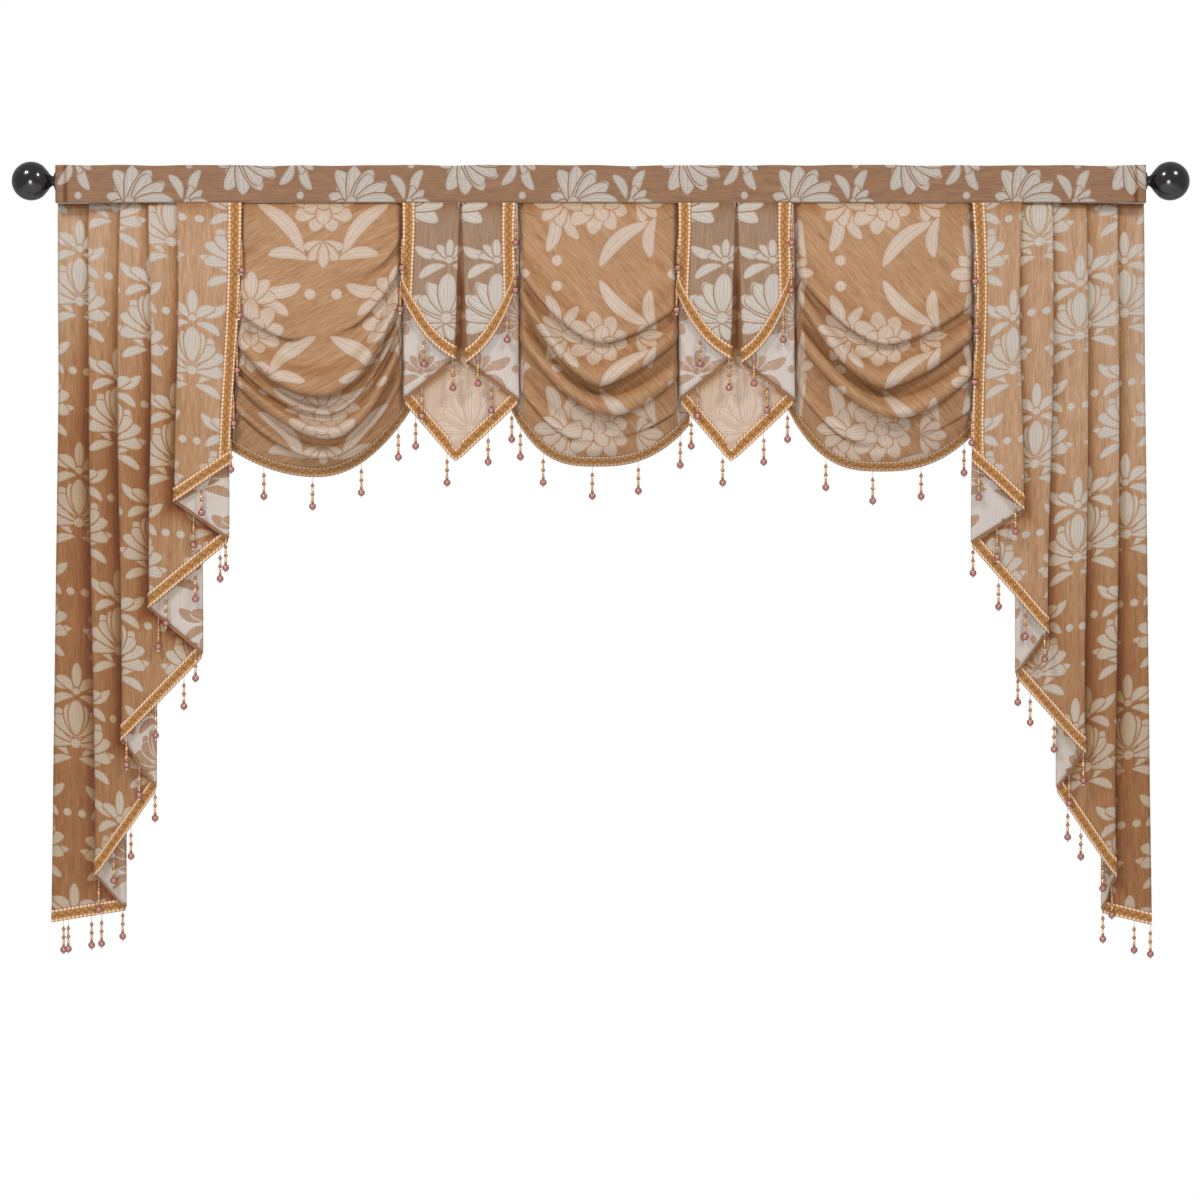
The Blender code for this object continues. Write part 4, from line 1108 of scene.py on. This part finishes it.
def petal_group():
    """Draws one petal over what is drawn so far, and hands the cloth on to the next petal by way
    of this one, which keeps a long row of petals within the renderer's memory. Its inside is
    where the rounded (1 - x^2), tapered, is more than the distance from its bent middle line. A
    narrow gap of ground is left round it, a dark rim follows its outline, and fine veins that
    meet at its tips run at equal shares of that distance."""
    tree, give, end = new_group(
        "Petal",
        {"Cloth": ORIGIN, "Motif": 0.0, "Veins": 0.0, "Middle": ORIGIN, "Turn": ORIGIN,
         "Halves": ORIGIN, "Half Width": 0.0, "Bend": 0.0, "Taper": 0.0, "Blunt": 0.0,
         "Vein Count": 0.0},
        {"Motif": 0.0, "Veins": 0.0, "Cloth": ORIGIN},
    )
    place = put(tree, "ShaderNodeMapping", {
        "Vector": give["Cloth"], "Location": give["Middle"], "Rotation": give["Turn"],
        "Scale": give["Halves"]}, vector_type="TEXTURE").outputs[0]
    x, y, _ = put(tree, "ShaderNodeSeparateXYZ", {0: place}).outputs
    x = put(tree, "ShaderNodeClamp", {"Value": x, "Min": -1.2, "Max": 1.2}).outputs[0]
    square = calc(tree, "MULTIPLY", x, x)
    room = calc(tree, "SUBTRACT", 1.0, square)
    rounded = calc(tree, "POWER", calc(tree, "MAXIMUM", room, 0.0), give["Blunt"])
    rounded = calc(tree, "MINIMUM", rounded, calc(tree, "MULTIPLY", room, 4.0))
    rounded = calc(tree, "MULTIPLY", rounded, calc(tree, "MULTIPLY_ADD", give["Taper"], x, 1.0))
    away = calc(tree, "ABSOLUTE", calc(tree, "MULTIPLY_ADD", give["Bend"], square, y))
    inside = calc(tree, "MULTIPLY", calc(tree, "SUBTRACT", rounded, away), give["Half Width"])
    fill = calc(tree, "MULTIPLY_ADD", inside, 2.0, 0.5, clamp=True)
    cover = calc(tree, "MULTIPLY_ADD", calc(tree, "ADD", inside, PETAL_GAP), 2.0, 0.5,
                 clamp=True)
    rest = calc(tree, "SUBTRACT", 1.0, cover)
    motif = calc(tree, "MULTIPLY_ADD", give["Motif"], rest, fill)
    spread = calc(tree, "DIVIDE", give["Vein Count"], calc(tree, "MAXIMUM", rounded, 0.05))
    off = calc(tree, "PINGPONG", calc(tree, "MULTIPLY", away, spread), 0.5)
    wide = calc(tree, "DIVIDE", calc(tree, "MULTIPLY", off, give["Half Width"]), spread)
    vein = calc(tree, "MULTIPLY_ADD", wide, -1.1, 0.9, clamp=True)
    rim = calc(tree, "MULTIPLY_ADD", inside, -0.8, 1.25, clamp=True)
    vein = calc(tree, "MULTIPLY", calc(tree, "MAXIMUM", vein, rim), fill)
    veins = calc(tree, "MULTIPLY_ADD", give["Veins"], rest, vein)
    after = vector_calc(tree, "MULTIPLY_ADD", motif, (1e-6,) * 3, give["Cloth"])
    feed(tree, end, {"Motif": motif, "Veins": veins, "Cloth": after})


def damask_group(name, design):
    """A woven repeat: the flat cloth is cut into bricks, every other row of them shifted, and
    the design's petals are drawn over each other in the brick."""
    tree, cloth, end = cloth_group(name, "Motif", "Veins")
    sized = vector_calc(tree, "MULTIPLY", cloth, (1 / MM,) * 3)
    x, y, _ = put(tree, "ShaderNodeSeparateXYZ", {0: sized}).outputs
    left, low = -design.width / 2, -design.height / 2
    row = calc(tree, "FLOOR", calc(tree, "DIVIDE", calc(tree, "SUBTRACT", y, low),
                                   design.height))
    shifted = calc(tree, "MULTIPLY_ADD", calc(tree, "PINGPONG", row, 1.0), -left, x)
    across = calc(tree, "WRAP", shifted, -left, left)
    up = calc(tree, "MULTIPLY_ADD", row, -design.height, y)
    brick = put(tree, "ShaderNodeCombineXYZ", {0: across, 1: up}).outputs[0]
    motif, veins = 0.0, 0.0
    for petal in design.petals:
        motif, veins, brick = use_group(tree, "Petal", {
            "Cloth": brick, "Motif": motif, "Veins": veins,
            "Middle": (petal.x, petal.y, 0.0), "Turn": (0.0, 0.0, math.radians(petal.turn)),
            "Halves": (petal.length / 2, petal.width / 2, 1.0),
            "Half Width": petal.width / 2, "Bend": petal.bend, "Taper": petal.taper,
            "Blunt": petal.blunt, "Vein Count": round(petal.width / design.vein_every) + 0.5})
    feed(tree, end, {"Motif": motif, "Veins": veins})


def slub_group():
    """Uneven yarns: two noises stretched along the warp, one broad and one fine, and a weave
    that is finer still."""
    tree, cloth, end = cloth_group("Slub Yarn", "Broad", "Fine", "Weave")
    for label, size, detail, rough in (
        ("Broad", (110.0, 9.0, 1.0), 3.0, 0.6),
        ("Fine", (560.0, 34.0, 1.0), 3.0, 0.6),
        ("Weave", (900.0, 900.0, 1.0), 1.0, 0.5),
    ):
        noise = put(tree, "ShaderNodeTexNoise", {
            "Vector": vector_calc(tree, "MULTIPLY", cloth, size), "Scale": 1.0,
            "Detail": detail, "Roughness": rough}, noise_dimensions="2D").outputs[0]
        feed(tree, end, {label: calc(tree, "MULTIPLY_ADD", calc(tree, "SUBTRACT", noise, 0.5),
                                     2.5, 0.5, clamp=True)})


def braid_group():
    """The braid's colours from its flat place, whose second number is the share of its width:
    rows of round beads along both edges, each bright where the sum of its two squared distances
    is small, a zigzag line along the middle, and uneven gold yarns."""
    tree, cloth, end = cloth_group("Braid Weave", "Cord", "Zigzag", "Bead", "Yarn")
    sized = vector_calc(tree, "MULTIPLY", cloth, (1 / MM,) * 3)
    along, across, _ = put(tree, "ShaderNodeSeparateXYZ", {0: sized}).outputs
    off = calc(tree, "SUBTRACT", across, 0.5)
    edge = calc(tree, "SUBTRACT", 0.5, calc(tree, "ABSOLUTE", off))
    cord = calc(tree, "MULTIPLY_ADD", edge, -25.0, 0.5 + 50.0 * CORD_SHARE, clamp=True)
    turns = calc(tree, "MULTIPLY", along, 2 * math.pi / ZIGZAG_PITCH)
    wave = calc(tree, "ARCSINE", calc(tree, "SINE", turns))
    line = calc(tree, "MULTIPLY", wave, ZIGZAG_SHARE * 2 / math.pi)
    near = calc(tree, "ABSOLUTE", calc(tree, "SUBTRACT", off, line))
    zigzag = calc(tree, "MULTIPLY_ADD", near, -20.0, 2.1, clamp=True)
    step = calc(tree, "MULTIPLY", calc(tree, "PINGPONG", along, BEAD_PITCH / 2), 2 / BEAD_PITCH)
    rise = calc(tree, "MULTIPLY_ADD", edge, 1 / CORD_SHARE, -1.0)
    round_off = calc(tree, "MULTIPLY_ADD", step, step, calc(tree, "MULTIPLY", rise, rise))
    bead = calc(tree, "MULTIPLY_ADD", round_off, -1.6, 1.75, clamp=True)
    noise = put(tree, "ShaderNodeTexNoise", {
        "Vector": vector_calc(tree, "MULTIPLY", sized, (0.45, 9.0, 0.0)), "Scale": 1.0,
        "Detail": 2.0}, noise_dimensions="2D").outputs[0]
    yarn = calc(tree, "MULTIPLY_ADD", noise, 3.0, -1.0, clamp=True)
    feed(tree, end, {"Cord": cord, "Zigzag": zigzag, "Bead": bead, "Yarn": yarn})


# ---------------------------------------------------------------- materials

def new_material(name, **values):
    """A material, its node tree and its shader, whose inputs are named with underscores."""
    made = bpy.data.materials.new(name)
    made.use_nodes = True
    shader = made.node_tree.nodes["Principled BSDF"]
    feed(made.node_tree, shader.inputs, {k.replace("_", " "): v for k, v in values.items()})
    return made, made.node_tree, shader


def darker(colour, share):
    return tuple(share * c for c in colour)


def damask_material(name, weave, colours, line, reverse=False, escape=1.0):
    """Two-tone damask from its light and dark ground and its motif, whose petals are drawn in
    the line's colour. The ground and the motif change places on the reverse. Painted shade from
    the cloth's attribute darkens and warms it, by the shade colour to the power of the shade, its
    satin much less where the shade is light: escape is the share of the shade that the satin is
    spared, and the reverse takes less of it."""
    ground, dark, motif = colours
    _, tree, shader = new_material(name, Sheen_Weight=0.05, Sheen_Roughness=0.4,
                                   Specular_IOR_Level=0.32)
    share, veins = use_group(tree, weave.damask + " Damask",
                             {"Cloth": turned_cloth(tree, weave.turn, weave.up)})
    broad, fine, yarns = use_group(tree, "Slub Yarn", {"Cloth": turned_cloth(tree, weave.yarn)})
    streak = calc(tree, "MULTIPLY_ADD", fine, 0.62, calc(tree, "MULTIPLY", broad, 0.38))
    base = blend_colour(tree, streak, dark, ground)
    pale = blend_colour(tree, fine, darker(motif, 0.86), motif)
    pale = blend_colour(tree, calc(tree, "MULTIPLY", veins, 0.7), pale, line)
    if reverse:
        share = calc(tree, "SUBTRACT", 1.0, share)
    shown = blend_colour(tree, share, base, pale)
    # Painted shade: the attribute darkens and warms the colour, the satin less where it is light
    deep = put(tree, "ShaderNodeAttribute", {}, attribute_name="painted_fold_shade").outputs["Fac"]
    dull = calc(tree, "MULTIPLY", share, calc(tree, "MULTIPLY_ADD", deep, 0.75, -escape))
    # The reverse takes less of the painted shade
    most = 0.4 if reverse else 1.0
    deep = calc(tree, "MULTIPLY", deep, calc(tree, "MULTIPLY_ADD", dull, most, most))
    shade = put(tree, "ShaderNodeGamma", {"Color": PAINTED_SHADE_COLOUR, "Gamma": deep}).outputs[0]
    feed(tree, shader.inputs, {
        "Base Color": blend_colour(tree, 1.0, shown, shade, mode="MULTIPLY"),
        "Roughness": calc(tree, "MULTIPLY_ADD", share, -0.14, 0.56)})
    height = calc(tree, "MULTIPLY_ADD", fine, 0.6, calc(tree, "MULTIPLY", yarns, 0.2))
    rough_surface(tree, shader, height, 0.6, 0.0008)


def braid_material(name, gold, pale, brown):
    _, tree, shader = new_material(name, Specular_IOR_Level=0.45, Sheen_Weight=0.2)
    cord, zigzag, bead, yarn = use_group(tree, "Braid Weave", {"Cloth": turned_cloth(tree, 0)})
    light = blend_colour(tree, yarn, darker(gold, 0.45), gold)
    light = blend_colour(tree, zigzag, light, brown)
    edge = blend_colour(tree, bead, brown, pale)
    feed(tree, shader.inputs, {"Base Color": blend_colour(tree, cord, light, edge),
                               "Roughness": calc(tree, "MULTIPLY_ADD", bead, -0.2, 0.6)})
    rough_surface(tree, shader, calc(tree, "MULTIPLY_ADD", yarn, 0.6, bead), 0.6, 0.0006)


def speckled_material(name, colour, other, scale, roughness, rim=None, **values):
    """A plain finish whose colour wanders between two shades in small patches, and turns to the
    rim's colour where the surface turns away from the eye: painted shade round a bead's edge."""
    _, tree, shader = new_material(name, **values)
    place = put(tree, "ShaderNodeTexCoord", {}).outputs["Object"]
    noise = put(tree, "ShaderNodeTexNoise", {
        "Vector": place, "Scale": scale, "Detail": 3.0, "Roughness": 0.6}).outputs[0]
    mixed = blend_colour(tree, noise, colour, other)
    if rim:
        # Painted shade: the rim colour where the surface turns away
        away = put(tree, "ShaderNodeLayerWeight", {"Blend": 0.62}).outputs["Facing"]
        mixed = blend_colour(tree, away, mixed, rim)
    feed(tree, shader.inputs, {"Base Color": mixed,
                               "Roughness": calc(tree, "MULTIPLY_ADD", noise, 0.12, roughness)})
    rough_surface(tree, shader, noise, 0.15, 0.0004)


def make_finishes(colours):
    """All groups and materials, made once."""
    if "Petal" in bpy.data.node_groups:
        return
    petal_group()
    for name, design in DAMASKS.items():
        damask_group(name + " Damask", design)
    slub_group()
    braid_group()
    c = colours
    line = c.ground_dark
    swag = c.swag_ground, c.swag_dark, c.swag_motif
    back = c.reverse_motif, c.reverse_dark, c.reverse_ground
    fronts = {
        "tail": (c.ground, c.ground_dark, c.motif), "swag_left": swag, "swag_inner": swag,
        "jabot": (c.jabot_ground, c.jabot_dark, c.motif),
        "heading": (c.heading_ground, c.heading_dark, c.heading_motif),
    }
    for name, weave in WEAVES.items():
        damask_material(name + "_cloth", weave, fronts[name],
                        c.heading_dark if name == "heading" else line,
                        escape=0.5 if "swag" in name else 1.0)
        damask_material(name + "_reverse", weave, back, line, reverse=True)
    damask_material("lotus_cloth", WEAVES["jabot"], (c.lotus_ground, c.lotus_dark,
                                                     c.lotus_motif), line)
    braid_material("gimp_braid", c.gold, c.braid_edge, c.braid_line)
    # A copy of the braid darkened all over, painted shade for the swags' hems
    braid_material("gimp_shaded_on_swag", darker(c.gold, 0.76), darker(c.braid_edge, 0.56),
                   darker(c.braid_line, 0.75))
    speckled_material("gimp_back", c.braid_back, darker(c.braid_back, 0.6), 700, 0.7)
    speckled_material("bead_thread", (0.62, 0.5, 0.38), (0.5, 0.38, 0.26), 900, 0.6)
    speckled_material("gold_bugle", (0.52, 0.27, 0.06), (0.68, 0.42, 0.15), 500, 0.2,
                      Metallic=0.4, Coat_Weight=0.5)
    # Painted shade round each rose pearl's edge, near black
    speckled_material("rose_pearl", (0.34, 0.08, 0.062), (0.56, 0.25, 0.2), 260, 0.16,
                      rim=(0.06, 0.008, 0.006), Coat_Weight=0.8, Coat_Roughness=0.1)
    speckled_material("clear_tip", (0.75, 0.62, 0.58), (0.85, 0.78, 0.74), 400, 0.08,
                      Coat_Weight=1.0)
    speckled_material("rod_lacquer", c.lacquer, darker(c.lacquer, 1.6), 60, 0.14,
                      Coat_Weight=0.6, Coat_Roughness=0.05)


# ---------------------------------------------------------------- pieces

def dress(piece, slot, *nodes):
    """The piece rides on the drape's one body and stands for its solids."""
    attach(piece, "root")
    if nodes:
        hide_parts(*nodes)


def finishes(*names):
    return [bpy.data.materials[name] for name in names]


def cloth_of(name, braid_width):
    """A piece's points, flat places, painted shade, and the columns of its back layer or None."""
    if name in SWAGS:
        return swag_cloth(name, SWAG_BRAID * braid_width)
    return pleated_cloth(name, braid_width)


def build_finial(name, side):
    """A finial turned from its profile, its two poles each closed by a fan of triangles."""
    low, high = (corner.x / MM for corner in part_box(name))
    centre = high - BALL_RADIUS if side > 0 else low + BALL_RADIUS
    x, radius = finial_profile().T
    rings = turned_points(np.stack([centre - side * x, radius], axis=-1), FINIAL_SIDES)
    poles, middle = rings[[0, -1], 0], rings[1:-1]
    count = len(middle) * FINIAL_SIDES
    index = np.arange(FINIAL_SIDES)
    after, last = np.roll(index, -1), count - FINIAL_SIDES
    faces = turned_quads(len(middle), FINIAL_SIDES).tolist()
    faces += np.stack([np.full_like(index, count), index, after], axis=-1).tolist()
    faces += np.stack([np.full_like(index, count + 1), after + last, index + last],
                      axis=-1).tolist()
    if side > 0:
        faces = [face[::-1] for face in faces]
    made = make_object(name + "_turned", np.concatenate([middle.reshape(-1, 3), poles]) * MM,
                       faces, finishes("rod_lacquer"), sharp=40)
    dress(made, "black_lacquer", name)


def build_rod():
    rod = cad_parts["rod"]
    rod.data.materials.clear()
    rod.data.materials.append(bpy.data.materials["rod_lacquer"])
    build_finial("finial_left", -1)
    build_finial("finial_right", 1)


def build_heading(sizes):
    grid, flat, depth = heading_cloth()
    made = cloth_object("heading_band", grid * MM, flat * MM, depth,
                        finishes("heading_cloth", "heading_reverse"), sizes.cloth_thickness)
    dress(made, "damask_heading", "heading")


def build_cloth(name, sizes):
    """One swag, jabot or tail as a sheet of cloth."""
    grid, flat, depth, back_layer = cloth_of(name, sizes.braid_width / MM)
    kind = name.split("_")[0]
    if name in SWAGS:
        kind = "swag_left" if name == "swag_left" else "swag_inner"
    sides = finishes(kind + "_cloth", kind + "_reverse")
    if back_layer is not None:
        sides += finishes("lotus_cloth", kind + "_reverse")
    made = cloth_object(name + "_cloth", grid * MM, flat * MM, depth, sides,
                        sizes.cloth_thickness, back_layer)
    dress(made, "damask", name)


def build_trim(name, sizes, tree):
    """The braid of one piece and its bead drops."""
    bands = (swag_braid if name in SWAGS else pleat_braids)(name, sizes)
    points, quads, flats, finish = zip(*bands)
    starts = np.cumsum([0] + [len(band) for band in points])
    quads = [band + start for band, start in zip(quads, starts)]
    # The swags' braid takes the darker copy, painted shade
    kind = "gimp_shaded_on_swag" if name in SWAGS else "gimp_braid"
    braid = make_object("braid_" + name, np.concatenate(points) * MM, np.concatenate(quads),
                        finishes(kind, "gimp_back"), np.concatenate(flats) * MM,
                        np.concatenate(finish), sharp=60)
    dress(braid, "gold_braid", "trim_" + name)
    tops = drop_places(name, sizes)
    ends = [hang_end(tree, top, sizes.drop_length / MM) for top in tops]
    points, quads, ring_finish, starts, caps = drops_arrays(tops, ends)
    faces = (quads[None] + starts[:, None, None]).reshape(-1, 4).tolist()
    faces += (caps[None] + starts[:, None, None]).reshape(-1, BEAD_SIDES).tolist()
    finish = np.concatenate([np.tile(ring_finish, len(starts)), np.tile([0, 3], len(starts))])
    drops = make_object("drops_" + name, points * MM, faces, finishes(
        "bead_thread", "gold_bugle", "rose_pearl", "clear_tip"), None, finish, sharp=40)
    dress(drops, "gold_braid")
    return braid, drops


def search_tree(sizes):
    """What a drop would lie against: all cloth faces, from each second point."""
    points, faces = [], []
    for name in CLOTHS:
        grid = cloth_of(name, sizes.braid_width / MM)[0][::2, ::2]
        faces += grid_quads(*grid.shape[:2], len(points)).tolist()
        points += (grid.reshape(-1, 3) * MM).tolist()
    return BVHTree.FromPolygons(points, faces)


def flat_cut(name, braid_width):
    """Width, length and area of the flat cloth that a piece is laid out on, in metres, whatever
    shape it hangs in. The leaning grain is set upright, and the area is the sum of the layout's
    cells, each half the cross product of its diagonals."""
    flat = cloth_of(name, braid_width)[1]
    if name in PLEATED:
        flat = flat + flat[..., :1] * np.array([0, PLEATED[name].lean])
    width, length = np.ptp(flat.reshape(-1, 2), axis=0) * MM
    falling, rising = flat[1:, 1:] - flat[:-1, :-1], flat[1:, :-1] - flat[:-1, 1:]
    cells = 0.5 * np.abs(falling[..., 0] * rising[..., 1] - falling[..., 1] * rising[..., 0])
    return float(width), float(length), float(cells.sum() * MM**2)


def declare_sheet(name, braid_width, with_pieces):
    """Works out what was cut: the smallest rectangle, and the shape's own area in it. The result
    is not passed on.
    """
    width, length, area = flat_cut(name, braid_width)


def build_stage():
    """A pale floor, a soft lamp from the left, a weaker one from the right and a low one from
    the front, and the camera. The room is white to the eye and dimmer as a light, so that folds
    keep their shade."""
    scene = bpy.context.scene
    world = bpy.data.worlds.new("pale_room")
    scene.world = world
    world.use_nodes = True
    tree = world.node_tree
    seen = put(tree, "ShaderNodeLightPath", {}).outputs["Is Camera Ray"]
    feed(tree, tree.nodes["Background"].inputs, {
        "Color": (1, 1, 1, 1),
        "Strength": calc(tree, "MULTIPLY_ADD", seen, 1 - ROOM_LIGHT, ROOM_LIGHT)})
    scene.view_settings.view_transform = "Standard"
    pale, _, _ = new_material("pale_floor", Base_Color=(0.9, 0.9, 0.9, 1), Roughness=0.9)
    floor = make_object("floor", [(*corner, FLOOR_Z) for corner in FLOOR_CORNERS],
                        [(0, 1, 2, 3)], [pale], smooth=False)
    for lamp in LAMPS:
        light = bpy.data.lights.new(lamp.name, "AREA")
        light.energy, light.size = lamp.power, lamp.size
        made = bpy.data.objects.new(lamp.name, light)
        made.location = lamp.place
        aim = Vector(LAMP_AIM) - made.location
        made.rotation_euler = aim.to_track_quat("-Z", "Y").to_euler()
        scene.collection.objects.link(made)
    camera = bpy.data.cameras.new("camera")
    camera.sensor_width = SENSOR_WIDTH
    camera.lens = SENSOR_WIDTH * CAMERA_DISTANCE / FRAME_WIDTH
    made = bpy.data.objects.new("camera", camera)
    made.location = CAMERA_PLACE
    made.rotation_euler = (math.radians(90), 0.0, 0.0)
    scene.collection.objects.link(made)
    scene.camera = made


# ---------------------------------------------------------------- add-on

def tint(name, description, value):
    return bpy.props.FloatVectorProperty(name=name, description=description, default=value,
                                         subtype="COLOR", size=3, min=0.0, max=1.0)


def span(name, description, value):
    return bpy.props.FloatProperty(name=name, description=description, default=value,
                                   unit="LENGTH", min=0.0)


class DrapeSizes(bpy.types.PropertyGroup):
    """Sizes of the drape that a user would change."""

    cloth_thickness: span("Cloth", "Thickness of the damask", 1.4 * MM)
    braid_width: span("Braid Width", "Width of the gold braid", 22.0 * MM)
    braid_thickness: span("Braid Thickness", "Thickness of the gold braid", 2.0 * MM)
    drop_length: span("Bead Drop", "Length of a bead drop below the braid", 62.0 * MM)


class DrapeColours(bpy.types.PropertyGroup):
    """Colours of the drape that a user would change."""

    ground: tint("Ground", "Light yarns of the damask's ground", (0.50, 0.335, 0.225))
    ground_dark: tint("Ground Dark", "Dark yarns of the damask's ground", (0.29, 0.155, 0.072))
    motif: tint("Motif", "Satin of the woven flowers", (0.485, 0.434, 0.383))
    swag_ground: tint("Swag Ground", "Light yarns of the swags' ground", (0.435, 0.255, 0.135))
    swag_dark: tint("Swag Dark", "Dark yarns of the swags' ground", (0.235, 0.105, 0.038))
    swag_motif: tint("Swag Motif", "Satin of the swags' flowers", (0.505, 0.396, 0.318))
    jabot_ground: tint("Jabot Ground", "Light yarns of the jabots", (0.325, 0.21, 0.137))
    jabot_dark: tint("Jabot Dark", "Dark yarns of the jabots", (0.20, 0.11, 0.058))
    lotus_ground: tint("Lotus Ground", "Pale back layer of the jabots", (0.51, 0.38, 0.295))
    lotus_dark: tint("Lotus Dark", "Dark yarns of that layer", (0.44, 0.31, 0.22))
    lotus_motif: tint("Lotus Motif", "Satin of that layer", (0.56, 0.435, 0.345))
    reverse_ground: tint("Reverse Ground", "Pale side of the reverse", (0.52, 0.455, 0.41))
    reverse_motif: tint("Reverse Motif", "Light yarns of the reverse", (0.42, 0.285, 0.205))
    reverse_dark: tint("Reverse Dark", "Dark yarns of the reverse", (0.30, 0.18, 0.115))
    heading_ground: tint("Heading Ground", "Light yarns of the heading", (0.272, 0.145, 0.076))
    heading_dark: tint("Heading Dark", "Dark yarns of the heading", (0.165, 0.08, 0.036))
    heading_motif: tint("Heading Motif", "Satin of the heading", (0.43, 0.378, 0.33))
    gold: tint("Gold", "Middle of the braid", (0.50, 0.225, 0.038))
    braid_edge: tint("Braid Edge", "Cords along the braid", (0.72, 0.47, 0.30))
    braid_line: tint("Braid Line", "Zigzag of the braid", (0.22, 0.075, 0.010))
    braid_back: tint("Braid Back", "Back of the braid", (0.36, 0.16, 0.06))
    lacquer: tint("Lacquer", "Black lacquer of the rod and finials", (0.006, 0.006, 0.007))


class DrapeOperator:
    """Shared by the operators: makes the finishes before a piece needs them, and builds all
    pieces of a kind."""

    bl_options = {"REGISTER", "UNDO"}

    def settings(self, context):
        make_finishes(context.scene.drape_colours)
        return context.scene.drape_sizes

    def hang(self, context, kind):
        sizes = self.settings(context)
        for name in CLOTHS:
            if name.startswith(kind):
                build_cloth(name, sizes)
        return {"FINISHED"}


class DRAPE_OT_rod(DrapeOperator, bpy.types.Operator):
    """Finish the rod and build its turned ball finials"""

    bl_idname = "drape.rod"
    bl_label = "Rod and Finials"

    def execute(self, context):
        self.settings(context)
        build_rod()
        return {"FINISHED"}


class DRAPE_OT_heading(DrapeOperator, bpy.types.Operator):
    """Build the rod pocket heading"""

    bl_idname = "drape.heading"
    bl_label = "Heading"

    def execute(self, context):
        build_heading(self.settings(context))
        return {"FINISHED"}


class DRAPE_OT_swags(DrapeOperator, bpy.types.Operator):
    """Build the three swags"""

    bl_idname = "drape.swags"
    bl_label = "Swags"

    def execute(self, context):
        return self.hang(context, "swag")


class DRAPE_OT_jabots(DrapeOperator, bpy.types.Operator):
    """Build the two jabots between the swags"""

    bl_idname = "drape.jabots"
    bl_label = "Jabots"

    def execute(self, context):
        return self.hang(context, "jabot")


class DRAPE_OT_tails(DrapeOperator, bpy.types.Operator):
    """Build the cascading tails"""

    bl_idname = "drape.tails"
    bl_label = "Tails"

    def execute(self, context):
        return self.hang(context, "tail")


class DRAPE_OT_trims(DrapeOperator, bpy.types.Operator):
    """Sew braid with bead drops to every swag, jabot and tail"""

    bl_idname = "drape.trims"
    bl_label = "Braid and Bead Drops"

    def execute(self, context):
        sizes = self.settings(context)
        tree = search_tree(sizes)
        for name in CLOTHS:
            declare_sheet(name, sizes.braid_width / MM, build_trim(name, sizes, tree))
        return {"FINISHED"}


class DRAPE_OT_stage(bpy.types.Operator):
    """Set the pale floor, the soft light and the camera"""

    bl_idname = "drape.stage"
    bl_label = "Stage"

    def execute(self, context):
        build_stage()
        return {"FINISHED"}


STEPS = ("stage", "rod", "heading", "swags", "jabots", "tails", "trims")


class DRAPE_PT_panel(bpy.types.Panel):
    """Sizes, colours and build steps of the drape"""

    bl_idname = "DRAPE_PT_panel"
    bl_label = "Swag and Tail Drape"
    bl_space_type = "VIEW_3D"
    bl_region_type = "UI"
    bl_category = "Drape"

    def draw(self, context):
        for group in (context.scene.drape_sizes, context.scene.drape_colours):
            box = self.layout.box()
            for name in group.bl_rna.properties.keys():
                if name not in ("rna_type", "name"):
                    box.prop(group, name)
        for step in STEPS:
            self.layout.operator("drape." + step)


CLASSES = (
    DrapeSizes, DrapeColours, DRAPE_OT_rod, DRAPE_OT_heading, DRAPE_OT_swags, DRAPE_OT_jabots,
    DRAPE_OT_tails, DRAPE_OT_trims, DRAPE_OT_stage, DRAPE_PT_panel,
)


def register():
    for each in CLASSES:
        bpy.utils.register_class(each)
    bpy.types.Scene.drape_sizes = bpy.props.PointerProperty(type=DrapeSizes)
    bpy.types.Scene.drape_colours = bpy.props.PointerProperty(type=DrapeColours)


def unregister():
    del bpy.types.Scene.drape_colours
    del bpy.types.Scene.drape_sizes
    for each in reversed(CLASSES):
        bpy.utils.unregister_class(each)


def main():
    register()
    for step in STEPS:
        getattr(bpy.ops.drape, step)()


if __name__ == "__main__":
    main()
